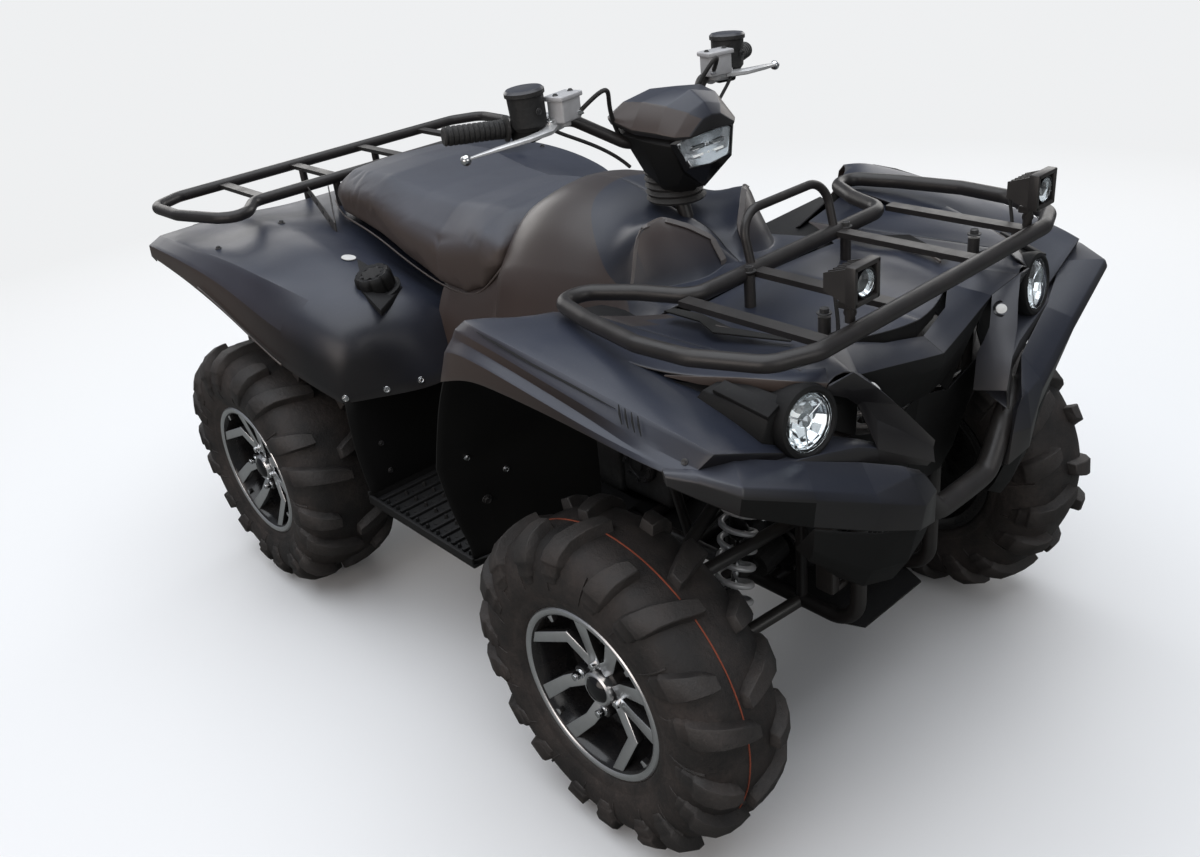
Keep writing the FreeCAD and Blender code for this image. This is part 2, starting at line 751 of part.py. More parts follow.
# Skid plate under the front rails
skid = doc.addObject("PartDesign::Body", "SkidPlate")
skidSketch = sketchOn(skid, "SkidSketch", "XY_Plane")
skidBottom = "Sizes.tyreRadius - Sizes.railBelowAxle - Sizes.railRadius - Sizes.panelWall"
skidSketch.setExpression("AttachmentOffset.Base.z", skidBottom)
skidHalf = "Sizes.railHalfSpan + 2"
skidFront = "Sizes.frontAxleY - Sizes.frontUprightAhead"
outline(skidSketch, [
    ("-(%s) + 25" % skidHalf, skidFront),
    (skidHalf + " - 25", skidFront),
    (skidHalf, skidFront + " + 60"),
    (skidHalf, "Sizes.frontAxleY + 700"),
    ("-(%s)" % skidHalf, "Sizes.frontAxleY + 700"),
    ("-(%s)" % skidHalf, skidFront + " + 60"),
])
skidPad = skid.newObject("PartDesign::Pad", "SkidPad")
skidPad.Profile = skidSketch
bind(skidPad, Length="Sizes.panelWall")
doc.recompute()
skidHoles = sketchOn(skid, "SkidHoleSketch", "XY_Plane")
skidHoles.setExpression("AttachmentOffset.Base.z",
                        "Sizes.tyreRadius - Sizes.railBelowAxle - Sizes.railRadius")
for across in (-70, 70):
    for behind in (60, 160):
        skidHoles.addGeometry(Part.Circle(Vector(across, frontY + behind, 0), Vector(0, 0, 1), 6), False)
holes = skid.newObject("PartDesign::Pocket", "SkidHoles")
holes.Profile = skidHoles
holes.Type = "Length"
bind(holes, Length="Sizes.panelWall * 2")
publish(skid, "skid_plate")

radiatorBack = uprightY + S["railRadius"]
radiator = boxShape(Vector(-170, radiatorBack, railZ + 90), Vector(170, radiatorBack + 42, topZ - 60))
publish(feature("Radiator", radiator), "radiator")

# Footboards
boardZ = pegZ + pegRadius
board = boxShape(Vector(200, frontY + 462, boardZ), Vector(495, rearY - 382, boardZ + S["boardThickness"]))
publish(bothSides("Footboards", board), "footboards")


# Steering

def pitmanArm():
    side = Vector(1, 0, 0)
    corners = [columnFoot - side * 20, columnFoot + side * 20, pitmanPin + side * 14, pitmanPin - side * 14]
    flat = Part.Face(Part.makePolygon(corners + corners[:1]))
    arm = flat.extrude(columnAxis * plate)
    rounded = alongColumn(columnFoot, plate, 20).fuse([alongColumn(pitmanPin, plate, 14), arm])
    studLength = plate + 2 * S["eyeDepth"] + eyeGap + 8
    stud = alongColumn(pitmanPin - columnAxis * (S["eyeDepth"] + 4), studLength, S["studRadius"])
    return rounded.fuse(stud)


column = alongColumn(columnFoot, S["columnLength"], S["columnRadius"]).fuse(pitmanArm())


def fromColumn(across, behind, above):
    return columnTop + Vector(across, behind, above)


# across, behind the column's top, above it
barHalf = [fromColumn(400, 138, 82), fromColumn(172, 57, 68), fromColumn(85, 7, 8)]
barCorners = barHalf + [flipSide(p) for p in reversed(barHalf)]
bar = tubeShape(barCorners, S["barRadius"], 45)
clampBlock = boxShape(fromColumn(-30, -15, -12), fromColumn(30, 29, 28))
steeringShaft = publish(feature("SteeringShaft", column.cut(clampBlock)), "steering_shaft")
handlebar = publish(feature("Handlebar", bar.fuse(clampBlock)), "handlebar")

barWay = barCorners[1] - barCorners[0]
barWay.normalize()
gripStart = barCorners[0]
grip = rodShape(gripStart, gripStart + barWay * S["gripLength"], S["gripRadius"]).cut(bar)
publish(bothSides("Grips", grip), "grips")

houseStart = gripStart + barWay * (S["gripLength"] + 0.3)
housing = rodShape(houseStart, houseStart + barWay * 40, 28)
housing = housing.fuse(Part.makeCylinder(19, 50, houseStart + barWay * 23, Vector(0.05, 0.05, 1)))
housing = housing.cut(bar)
publish(bothSides("SwitchHousings", housing), "switch_housings")

perch = houseStart + barWay * 62
leverTip = fromColumn(409, 65, 52)
leverRoot = perch + Vector(6, -34, -4)
lever = tubeShape([leverRoot, leverRoot + Vector(70, -22, -4), leverTip], 6.5, 60)
lever = lever.fuse([Part.makeSphere(10, leverTip), rodShape(perch - barWay * 14, perch + barWay * 14, 20)])
lever = lever.fuse(rodShape(perch, leverRoot, 10))
reservoir = boxShape(fromColumn(168, 20, 76), fromColumn(232, 63, 131))
lever = lever.fuse(reservoir).cut(bar)
publish(bothSides("BrakeLevers", lever), "brake_levers")
pod = podBlank.Shape.cut(fused([bar, clampBlock, column, lens.Shape]))
pod = max(pod.Solids, key=lambda solid: solid.Volume)
publish(feature("Pod", pod), "pod")

# Front knuckles: kingpin pins through the arm eyes, spindle for the wheel
kingX = S["kingpinHalfSpan"]
wheelX = S["frontHalfTrack"]
spindleEnd = wheelX + S["frontRimWidth"] / 2 - 2 * S["faceInset"] - 2


def knuckle(side):
    x = side * kingX
    low = Vector(x, frontY, axleZ - S["lowerBallBelow"])
    high = Vector(x, frontY, axleZ + S["upperBallAbove"])
    out = Vector(side, 0, 0)
    body = rodShape(low + Vector(0, 0, 14), high - Vector(0, 0, 14), S["uprightRadius"])
    pins = rodShape(low - Vector(0, 0, 14), high + Vector(0, 0, 14), S["kingpinRadius"])
    centre = Vector(x, frontY, axleZ)
    flange = rodShape(centre - out * 5, centre + out * 30, 40)
    spindle = rodShape(centre, Vector(side * spindleEnd, frontY, axleZ), S["spindleRadius"])
    studZ = (axleZ + S["tieRodAbove"])
    stud = Vector(x, frontY + S["steerArm"], studZ)
    arm = boxShape(Vector(x - 10, frontY, studZ - 8), Vector(x + 10, frontY + S["steerArm"], studZ + 2))
    end = Part.makeCylinder(12, 10, stud - Vector(0, 0, 8))
    pinLength = 10 + S["openEyeDrop"] + S["eyeDepth"] + 4
    pin = Part.makeCylinder(S["studRadius"], pinLength, stud - Vector(0, 0, 4))
    return fused([body, pins, flange, spindle, arm, end, pin])


def armEye(centre):
    blank = Part.makeCylinder(20, 24, centre - Vector(0, 0, 12))
    hole = Part.makeCylinder(S["kingpinRadius"] + S["runningFit"], 30, centre - Vector(0, 0, 15))
    return blank, hole


def suspensionArm(axleY, innerX, innerZ, outer, spread):
    legs = []
    for way in (-1, 1):
        start = Vector(innerX, axleY + way * spread, innerZ)
        legs.append(rodShape(start, outer, S["armTubeRadius"]))
    return legs


for sideName, side in (("left", 1), ("right", -1)):
    publish(feature("Knuckle_" + sideName, knuckle(side)), "knuckle_" + sideName)

lowerEye = Vector(kingX, frontY, axleZ - S["lowerBallBelow"])
upperEye = Vector(kingX, frontY, axleZ + S["upperBallAbove"])
arms = []
for eye, innerZ in ((lowerEye, railZ), (upperEye, railZ + 190)):
    blank, hole = armEye(eye)
    legs = suspensionArm(frontY, span, innerZ, eye, spread)
    shape = fused(legs + [blank]).cut(hole)
    keepOut = rodShape(lowerEye + Vector(0, 0, 12.3), upperEye - Vector(0, 0, 12.3), S["uprightRadius"] + 6)
    arms.append(shape.cut(keepOut))
    arms[-1] = max(arms[-1].Solids, key=lambda solid: solid.Volume)

# Rear knuckles and arms
rearKnuckleX = S["rearHalfTrack"] - 70
rearSpindleEnd = S["rearHalfTrack"] + S["rearRimWidth"] / 2 - 2 * S["faceInset"] - 2
rearCentre = Vector(rearKnuckleX, rearY, axleZ)
rearUpright = boxShape(Vector(rearKnuckleX - 18, rearY - 30, axleZ - 90),
                       Vector(rearKnuckleX + 18, rearY + 30, axleZ + 95))
rearSpindle = rodShape(rearCentre, Vector(rearSpindleEnd, rearY, axleZ), S["spindleRadius"])
rearKnuckle = rearUpright.fuse([rodShape(rearCentre, rearCentre + Vector(40, 0, 0), 42), rearSpindle])
publish(bothSides("RearKnuckles", rearKnuckle), "rear_knuckles")
for offset, innerZ in ((-75, railZ), (80, railZ + 190)):
    outer = Vector(rearKnuckleX - 10, rearY, axleZ + offset)
    shape = fused(suspensionArm(rearY, span, innerZ, outer, spread)).cut(rearUpright)
    arms.append(max(shape.Solids, key=lambda solid: solid.Volume))

# Shocks: coil outline over a damper, from the frame's tower to the lower arm
shocks = []
shockFoot = axleZ - S["shockBelowAxle"]
for axleY, top, bottom in (
        (frontY - 5, Vector(S["shockTopHalfSpan"], frontY - 5, topZ), Vector(275, frontY - 44, shockFoot)),
        (rearY + 30, Vector(185, rearY + 30, rearTopZ), Vector(300, rearY + 40, shockFoot))):
    way = bottom - top
    way.normalize()
    coil = rodShape(top + way * 75, bottom - way * 122, S["springRadius"])
    core = rodShape(top, bottom, S["dampingRodRadius"])
    shocks.append(core.fuse(coil))

# Half shafts with boots, from the gear cases towards the hubs
shafts = []
for y, end in ((frontY - 5, kingX - 52), (rearY, rearKnuckleX - 18)):
    start = Vector(S["caseWidth"] / 2, y, caseMiddle)
    finish = Vector(end, y if y == rearY else frontY, axleZ)
    way = finish - start
    way.normalize()
    shaft = fused([rodShape(start, finish, S["shaftRadius"]),
                   rodShape(start + way * 12, start + way * 80, S["bootRadius"]),
                   rodShape(finish - way * 78, finish - way * 14, S["bootRadius"])])
    shaft = shaft.cut(boxShape(Vector(0, y - 90, deck), Vector(S["caseWidth"] / 2, y + 90, deck + 200)))
    if y == rearY:
        shaft = shaft.cut(rearUpright)
    shafts.append(max(shaft.Solids, key=lambda solid: solid.Volume))

# Tie rods: inner eye on the pitman stud, open outer eye about the knuckle's stud
tieRods = []
for sideName, side, lift in (("left", 1, plate + eyeGap), ("right", -1, -S["eyeDepth"] - 1)):
    inner = pitmanPin + columnAxis * lift
    innerMiddle = inner + columnAxis * (S["eyeDepth"] / 2)
    stud = Vector(side * kingX, frontY + S["steerArm"], (axleZ + S["tieRodAbove"]) + 2 + S["openEyeDrop"])
    outerMiddle = stud + Vector(0, 0, S["eyeDepth"] / 2)
    eyes = [alongColumn(inner, S["eyeDepth"], S["eyeRadius"]),
            Part.makeCylinder(S["eyeRadius"], S["eyeDepth"], stud),
            rodShape(innerMiddle, outerMiddle, S["tieRodRadius"] - 1)]
    holes = [alongColumn(inner - columnAxis * 2, S["eyeDepth"] + 4, S["studRadius"] + S["runningFit"]),
             Part.makeCylinder(S["studRadius"] + S["openEyeClearance"], 60, stud - Vector(0, 0, 20))]
    rod = fused(eyes).cut(fused(holes))
    publish(feature("TieRod_" + sideName, max(rod.Solids, key=lambda s: s.Volume)), "tie_rod_" + sideName)

arms = [max(shape.cut(frameShape).Solids, key=lambda solid: solid.Volume) for shape in arms]
armSet = Part.Compound(arms + [mirrored(shape) for shape in arms])
shocks = [max(shape.cut(armSet).Solids, key=lambda solid: solid.Volume) for shape in shocks]
shocks = [max(shape.cut(frameShape).Solids, key=lambda solid: solid.Volume) for shape in shocks]
shafts = [max(shape.cut(armSet).Solids, key=lambda solid: solid.Volume) for shape in shafts]
publish(feature("SuspensionArms", armSet), "suspension_arms")
publish(feature("Shocks", Part.Compound(shocks + [mirrored(shape) for shape in shocks])), "shocks")
publish(feature("HalfShafts", Part.Compound(shafts + [mirrored(shape) for shape in shafts])), "half_shafts")


# Racks

def slat(x, startY, endY, height):
    half = S["slatWidth"] / 2
    return boxShape(Vector(x - half, startY, height - S["slatDepth"] / 2),
                    Vector(x + half, endY, height + S["slatDepth"] / 2))


rackZ = axleZ + S["frontRackAbove"]
frontOuter = [(-0.5, -292), (318, -292), (392, -262), (440, -150), (450, -50), (430, 80), (405, 178),
              (350, 178), (300, 100), (262, 5), (-0.5, 5)]
frontCorners = [Vector(x, frontY + behind, rackZ) for x, behind in frontOuter]
frontLoop = tubeShape(frontCorners, S["rackRadius"], 45)
rackParts = [frontLoop, mirrored(frontLoop)]
for x in (116, 286):
    for side in (1, -1):
        rackParts.append(slat(side * x, frontY - 292, frontY + 5, rackZ))
hoop = [Vector(115, frontY + 5, rackZ), Vector(115, frontY + 28, rackZ + 95),
        Vector(-115, frontY + 28, rackZ + 95), Vector(-115, frontY + 5, rackZ)]
rackParts.append(tubeShape(hoop, S["hoopRadius"], 45))
foot = topZ + S["crossRadius"]
for x, y in ((211, uprightY), (135, frontY - 5)):
    for side in (1, -1):
        rackParts.append(Part.makeCylinder(S["legRadius"], rackZ - foot, Vector(side * x, y, foot)))
braceY = frontY - 292
for side in (1, -1):
    braceFoot = Vector(side * 211, uprightY, rackZ - 40)
    rackParts.append(rodShape(braceFoot, Vector(side * 211, braceY, rackZ), 8))
frontRack = publish(feature("FrontRack", fused(rackParts)), "front_rack")

rearZ = axleZ + S["rearRackAbove"]
rearOuter = [(-0.5, 422), (440, 422), (520, 380), (516, 250), (470, 120), (440, 88), (400, 100), (350, 172),
             (-0.5, 172)]
rearCorners = [Vector(x, rearY + behind, rearZ) for x, behind in rearOuter]
rearLoop = tubeShape(rearCorners, S["rackRadius"], 45)
rackParts = [rearLoop, mirrored(rearLoop)]
for x in (107, 317):
    for side in (1, -1):
        rackParts.append(slat(side * x, rearY + 172, rearY + 422, rearZ))
foot = rearTopZ + S["topRailRadius"]
for x, y in ((span, rearY + 172), (span, rearY + 350)):
    for side in (1, -1):
        rackParts.append(Part.makeCylinder(S["legRadius"], rearZ - foot, Vector(side * x, y, foot)))
rearRack = publish(feature("RearRack", fused(rackParts)), "rear_rack")

# Bumper: a bar on the frame's front cross tube, and a faceted cover at each side
barY = uprightY - S["crossRadius"]
bumperHalf = [(235, 0, topZ), (235, -95, topZ), (165, -133, topZ - 5), (78, -112, topZ - 104)]
bumperCorners = [Vector(x, barY + ahead, z) for x, ahead, z in bumperHalf]
bumperCorners += [flipSide(p) for p in reversed(bumperCorners)]
bumperShape = tubeShape(bumperCorners, S["bumperRadius"], 50)
publish(feature("BumperBar", bumperShape), "bumper_bar")

# across, ahead of the front axle, above the axle line: top back, top front, low front, low back
coverTable = [
    [(570, -222, 533), (586, -250, 534), (580, -245, 512), (560, -222, 508)],
    [(492, -262, 517), (496, -298, 488), (490, -296, 455), (480, -255, 450)],
    [(285, -318, 425), (270, -366, 382), (265, -372, 325), (270, -320, 322)],
    [(205, -332, 422), (186, -378, 404), (200, -390, 290), (200, -330, 285)],
    [(142, -335, 378), (136, -374, 368), (131, -378, 280), (140, -335, 280)],
]
cover = bulk([[point("front", *place) for place in ring] for ring in coverTable])
cover = cover.cut(fused([bumperShape, fender, nosePanel.Shape]))
cover = max(cover.Solids, key=lambda solid: solid.Volume)
publish(bothSides("BumperCovers", cover), "bumper_covers")

# Lamps
lampWay = Vector(0.12, -1, 0.12)
lampWay.normalize()
lampFace = point("front", 329, -281, 517)
headlamp = rodShape(lampFace, lampFace - lampWay * S["headlampDepth"], S["headlampRadius"])
headlamp = headlamp.cut(fused([fender, nosePanel.Shape]))
headlamp = max(headlamp.Solids, key=lambda solid: solid.Volume)
publish(bothSides("Headlamps", headlamp), "headlamps")

lampHalf = S["workLampSize"] / 2
lampSolids = []
for x in (-212, 302):
    lampTop = rackZ + 40 + S["workLampSize"]
    lampLow = Vector(x - lampHalf, frontY - 300, rackZ + 40)
    lampBox = boxShape(lampLow, Vector(x + lampHalf, frontY - 240, lampTop))
    stalk = boxShape(Vector(x - 10, frontY - 278, rackZ), Vector(x + 10, frontY - 262, rackZ + 42))
    cleared = lampBox.fuse(stalk).cut(frontRack.Shape)
    lampSolids.append(max(cleared.Solids, key=lambda solid: solid.Volume))
publish(feature("WorkLamps", Part.makeCompound(lampSolids)), "work_lamps")

tailLamp = boxShape(point("rear", 330, 370, 492), point("rear", 430, 424, 524)).cut(rearSkin.Shape)
tailLamp = max(tailLamp.Solids, key=lambda solid: solid.CenterOfMass.y)
publish(bothSides("TailLamps", tailLamp), "tail_lamps")

# Skins cut round what passes through them
columnHole = alongColumn(columnFoot, S["columnLength"], S["columnRadius"] + S["columnClearance"])
noseShape = nosePanel.Shape.cut(frontRack.Shape)
noseShape = max(noseShape.Solids, key=lambda solid: solid.Volume)
publish(feature("NosePanel", noseShape), "nose_panel")
cowlShape = cowlSkin.Shape.cut(columnHole)
publish(feature("TankCowl", max(cowlShape.Solids, key=lambda solid: solid.Volume)), "tank_cowl")
rearShape = rearSkin.Shape.cut(rearRack.Shape)
publish(feature("RearFender", max(rearShape.Solids, key=lambda solid: solid.Volume)), "rear_fender")
capFoot = point("rear", -330, -330, 470)
capWay = Vector(-0.25, -0.05, 1)
fuelCap = Part.makeCylinder(S["capRadius"], 60, capFoot, capWay).cut(rearSkin.Shape)
publish(feature("FuelCap", max(fuelCap.Solids, key=lambda solid: solid.CenterOfMass.z)), "fuel_cap")
publish(feature("Frame", frameShape), "frame")

doc.recompute()
for item in doc.Objects:
    if "Invalid" in item.State or "Error" in item.State:
        raise RuntimeError("%s failed: %s" % (item.Name, item.State))
os.makedirs("parts", exist_ok=True)
for item in subparts:
    shape = item.Shape
    if shape.isNull() or not shape.isValid():
        raise RuntimeError(item.Label + " has no valid shape")
    shape.exportStep("parts/%s.step" % item.Label)
    print("%-20s %2d solids %9.0f mm3" % (item.Label, len(shape.Solids), shape.Volume))
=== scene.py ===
import math

import bpy
from mathutils import Matrix, Vector


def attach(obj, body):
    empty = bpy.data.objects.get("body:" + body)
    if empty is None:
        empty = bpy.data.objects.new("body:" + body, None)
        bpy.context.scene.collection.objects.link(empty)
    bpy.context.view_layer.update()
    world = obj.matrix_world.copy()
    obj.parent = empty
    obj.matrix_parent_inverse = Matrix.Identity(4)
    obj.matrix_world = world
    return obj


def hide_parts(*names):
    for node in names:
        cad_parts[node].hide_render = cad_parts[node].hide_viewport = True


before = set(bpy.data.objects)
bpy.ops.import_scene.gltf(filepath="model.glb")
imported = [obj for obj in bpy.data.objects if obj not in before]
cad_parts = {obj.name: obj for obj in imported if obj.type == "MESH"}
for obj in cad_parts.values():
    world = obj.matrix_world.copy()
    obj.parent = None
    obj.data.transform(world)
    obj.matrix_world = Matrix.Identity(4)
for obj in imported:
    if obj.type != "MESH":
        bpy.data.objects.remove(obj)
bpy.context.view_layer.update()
mm = 0.001
print("frame loaded")

# camera, light, floor
camera = {"place": (-1.4659, -1.8187, 1.6248), "yaw": 50.55, "down": 28.01, "roll": -6.58, "lens": 32.865}


def addCamera():
    yaw, down, roll = (math.radians(camera[key]) for key in ("yaw", "down", "roll"))
    ahead = Vector((math.cos(down) * math.cos(yaw), math.cos(down) * math.sin(yaw), -math.sin(down)))
    level = Vector((math.sin(yaw), -math.cos(yaw), 0))
    upright = level.cross(ahead)
    right = level * math.cos(roll) + upright * math.sin(roll)
    up = upright * math.cos(roll) - level * math.sin(roll)
    bpy.ops.object.camera_add(location=camera["place"])
    eye = bpy.context.object
    turn = Matrix((right, up, -ahead)).transposed()
    eye.rotation_euler = turn.to_euler()
    eye.data.lens = camera["lens"]
    eye.data.clip_start = 0.05
    bpy.context.scene.camera = eye


def addLamp(name, place, aim, size, power, colour):
    bpy.ops.object.light_add(type="AREA", location=place)
    lamp = bpy.context.object
    lamp.name = name
    lamp.rotation_euler = (Vector(place) - Vector(aim)).to_track_quat("Z", "Y").to_euler()
    lamp.data.shape = "RECTANGLE"
    lamp.data.size = size[0]
    lamp.data.size_y = size[1]
    lamp.data.energy = power
    lamp.data.color = colour


lamps = {
    "sky": ((-0.6, 0.6, 9.0), (0, 0.4, 0), (13.0, 13.0), 1050, (0.93, 0.96, 1.0)),
    "nearSide": ((-4.6, -1.2, 1.9), (0, 0, 0.6), (3.4, 2.4), 52, (1.0, 0.90, 0.83)),
    "front": ((-0.6, -5.0, 2.2), (0, -0.4, 0.6), (3.4, 2.2), 32, (1.0, 0.98, 0.95)),
    "farSide": ((4.6, 0.6, 2.2), (0, 0, 0.6), (3.4, 2.4), 48, (1.0, 0.98, 0.95)),
    "behind": ((0.6, 5.0, 2.4), (0, 0.4, 0.6), (3.4, 2.2), 48, (1.0, 0.98, 0.95)),
}


def addWorld():
    world = bpy.data.worlds.new("studio")
    bpy.context.scene.world = world
    world.use_nodes = True
    nodes, links = world.node_tree.nodes, world.node_tree.links
    shade = nodes["Background"]
    rays = nodes.new("ShaderNodeLightPath")
    seen = nodes.new("ShaderNodeMath")
    seen.operation = "MAXIMUM"
    links.new(rays.outputs["Is Camera Ray"], seen.inputs[0])
    links.new(rays.outputs["Is Transmission Ray"], seen.inputs[1])
    tint = nodes.new("ShaderNodeMix")
    tint.data_type = "RGBA"
    tint.inputs["A"].default_value = (0.17, 0.18, 0.20, 1)
    tint.inputs["B"].default_value = (0.86, 0.87, 0.88, 1)
    links.new(seen.outputs[0], tint.inputs["Factor"])
    links.new(tint.outputs["Result"], shade.inputs["Color"])


def deselectAll():
    if bpy.context.object and bpy.context.object.mode != "OBJECT":
        bpy.ops.object.mode_set(mode="OBJECT")
    bpy.ops.object.select_all(action="DESELECT")


def addFloor():
    deselectAll()
    bpy.ops.mesh.primitive_plane_add(size=60, location=(0, 10, 0))
    floor = bpy.context.object
    floor.name = "studioFloor"
    floor.data.materials.append(floorMaterial())


def floorMaterial():
    # pale to the camera, dark to the light it throws back, as grass is
    material = plainMaterial("floorPaper", (0.80, 0.805, 0.81), 0.9)
    nodes, links = material.node_tree.nodes, material.node_tree.links
    rays = nodes.new("ShaderNodeLightPath")
    tint = nodes.new("ShaderNodeMix")
    tint.data_type = "RGBA"
    tint.inputs["A"].default_value = (0.13, 0.135, 0.13, 1)
    tint.inputs["B"].default_value = (0.84, 0.845, 0.85, 1)
    links.new(rays.outputs["Is Camera Ray"], tint.inputs["Factor"])
    links.new(tint.outputs["Result"], shaderOf(material).inputs["Base Color"])
    # far from the vehicle the paper turns into the plain backdrop
    away = nodes.new("ShaderNodeVectorMath")
    away.operation = "LENGTH"
    links.new(nodes.new("ShaderNodeNewGeometry").outputs["Position"], away.inputs[0])
    far = rangeNode(material.node_tree, away.outputs["Value"], 1.6, 4.2)
    backdrop = nodes.new("ShaderNodeEmission")
    backdrop.inputs["Color"].default_value = (0.86, 0.87, 0.88, 1)
    blend = nodes.new("ShaderNodeMixShader")
    links.new(mathNode(material.node_tree, "MULTIPLY", far, rays.outputs["Is Camera Ray"]), blend.inputs[0])
    links.new(shaderOf(material).outputs["BSDF"], blend.inputs[1])
    links.new(backdrop.outputs[0], blend.inputs[2])
    links.new(blend.outputs[0], nodes["Material Output"].inputs["Surface"])
    return material


# materials
def shaderOf(material):
    return material.node_tree.nodes["Principled BSDF"]


def plainMaterial(name, colour, rough, metal=0.0):
    material = bpy.data.materials.new(name)
    material.use_nodes = True
    shader = shaderOf(material)
    shader.inputs["Base Color"].default_value = (*colour, 1)
    shader.inputs["Roughness"].default_value = rough
    shader.inputs["Metallic"].default_value = metal
    return material


def nodeGroup(name, starts):
    tree = bpy.data.node_groups.new(name, "ShaderNodeTree")
    for label, start in starts.items():
        kind = "NodeSocketColor" if isinstance(start, tuple) else "NodeSocketFloat"
        tree.interface.new_socket(name=label, in_out="INPUT", socket_type=kind).default_value = start
    for label, kind in (("Colour", "Color"), ("Roughness", "Float"), ("Normal", "Vector")):
        tree.interface.new_socket(name=label, in_out="OUTPUT", socket_type="NodeSocket" + kind)
    return tree, tree.nodes.new("NodeGroupInput").outputs, tree.nodes.new("NodeGroupOutput").inputs


def noiseNode(tree, vector, scale, detail, rough=0.55):
    noise = tree.nodes.new("ShaderNodeTexNoise")
    noise.inputs["Detail"].default_value = detail
    noise.inputs["Roughness"].default_value = rough
    if isinstance(scale, (int, float)):
        noise.inputs["Scale"].default_value = scale
    else:
        tree.links.new(scale, noise.inputs["Scale"])
    tree.links.new(vector, noise.inputs["Vector"])
    return noise


def rangeNode(tree, value, low, high, toLow=0.0, toHigh=1.0):
    node = tree.nodes.new("ShaderNodeMapRange")
    for key, number in (("From Min", low), ("From Max", high), ("To Min", toLow), ("To Max", toHigh)):
        node.inputs[key].default_value = number
    tree.links.new(value, node.inputs["Value"])
    return node.outputs["Result"]


def mixColour(tree, factor, first, second, blend="MIX"):
    node = tree.nodes.new("ShaderNodeMix")
    node.data_type = "RGBA"
    node.blend_type = blend
    for key, source in (("Factor", factor), ("A", first), ("B", second)):
        if isinstance(source, (int, float)):
            node.inputs[key].default_value = source
        elif isinstance(source, tuple):
            node.inputs[key].default_value = (*source, 1)
        else:
            tree.links.new(source, node.inputs[key])
    return node.outputs["Result"]


def mathNode(tree, kind, first, second=None):
    node = tree.nodes.new("ShaderNodeMath")
    node.operation = kind
    for index, source in enumerate((first, second)):
        if source is None:
            continue
        if isinstance(source, (int, float)):
            node.inputs[index].default_value = source
        else:
            tree.links.new(source, node.inputs[index])
    return node.outputs["Value"]


def times(tree, first, second):
    return mathNode(tree, "MULTIPLY", first, second)


def plus(tree, first, second):
    return mathNode(tree, "ADD", first, second)


def bumpInto(tree, made, height, distance, strength):
    bump = tree.nodes.new("ShaderNodeBump")
    bump.inputs["Distance"].default_value = distance
    if isinstance(strength, float):
        bump.inputs["Strength"].default_value = strength
    else:
        tree.links.new(strength, bump.inputs["Strength"])
    tree.links.new(height, bump.inputs["Height"])
    tree.links.new(bump.outputs["Normal"], made["Normal"])


def mouldedPlasticGroup():
    # painted sky sheen where the panel looks up, painted shade and warm sheen where it looks aside, with
    # grain, dust and pale worn edges
    tree, given, made = nodeGroup("mouldedPlastic", {
        "Top Colour With Painted Sky Sheen": (0.03, 0.033, 0.042, 1), "Side Colour With Painted Shade And Sheen": (0.03, 0.026, 0.024, 1),
        "Edge Colour": (0.09, 0.085, 0.08, 1), "Grain Scale": 900.0, "Grain Depth": 0.05,
        "Roughness": 0.42, "Edge Amount": 0.5, "Dust": 0.25})
    place = tree.nodes.new("ShaderNodeTexCoord").outputs["Object"]
    geometry = tree.nodes.new("ShaderNodeNewGeometry")
    split = tree.nodes.new("ShaderNodeSeparateXYZ")
    tree.links.new(geometry.outputs["Normal"], split.inputs[0])
    # painted light: the colour turns from the side's painted shade and sheen to the top's painted sky sheen
    # as the face looks up
    upward = rangeNode(tree, split.outputs["Z"], 0.15, 0.9)
    base = mixColour(tree, upward, given["Side Colour With Painted Shade And Sheen"], given["Top Colour With Painted Sky Sheen"])
    broad = noiseNode(tree, place, 3.5, 3).outputs["Fac"]
    cloudy = rangeNode(tree, broad, 0.3, 0.7, 0.88, 1.14)
    brightness = tree.nodes.new("ShaderNodeHueSaturation")
    tree.links.new(cloudy, brightness.inputs["Value"])
    tree.links.new(base, brightness.inputs["Color"])
    edge = rangeNode(tree, geometry.outputs["Pointiness"], 0.515, 0.60)
    worn = times(tree, edge, given["Edge Amount"])
    edged = mixColour(tree, worn, brightness.outputs["Color"], given["Edge Colour"])
    specks = rangeNode(tree, noiseNode(tree, place, 160, 4, 0.7).outputs["Fac"], 0.55, 0.8)
    dusty = times(tree, times(tree, specks, upward), given["Dust"])
    final = mixColour(tree, dusty, edged, (0.16, 0.15, 0.14))
    tree.links.new(final, made["Colour"])
    roughWave = rangeNode(tree, noiseNode(tree, place, 9, 4).outputs["Fac"], 0.3, 0.7, -0.05, 0.06)
    tree.links.new(plus(tree, given["Roughness"], roughWave), made["Roughness"])
    grain = noiseNode(tree, place, given["Grain Scale"], 2).outputs["Fac"]
    bumpInto(tree, made, grain, 0.0004, given["Grain Depth"])
    return tree


def groupMaterial(name, group, values):
    material = plainMaterial(name, (0.1, 0.1, 0.1), 0.5)
    nodes, links = material.node_tree.nodes, material.node_tree.links
    node = nodes.new("ShaderNodeGroup")
    node.node_tree = group
    for key, value in values.items():
        node.inputs[key].default_value = (*value, 1) if isinstance(value, tuple) else value
    for made, socket in (("Colour", "Base Color"), ("Roughness", "Roughness"), ("Normal", "Normal")):
        links.new(node.outputs[made], shaderOf(material).inputs[socket])
    return material


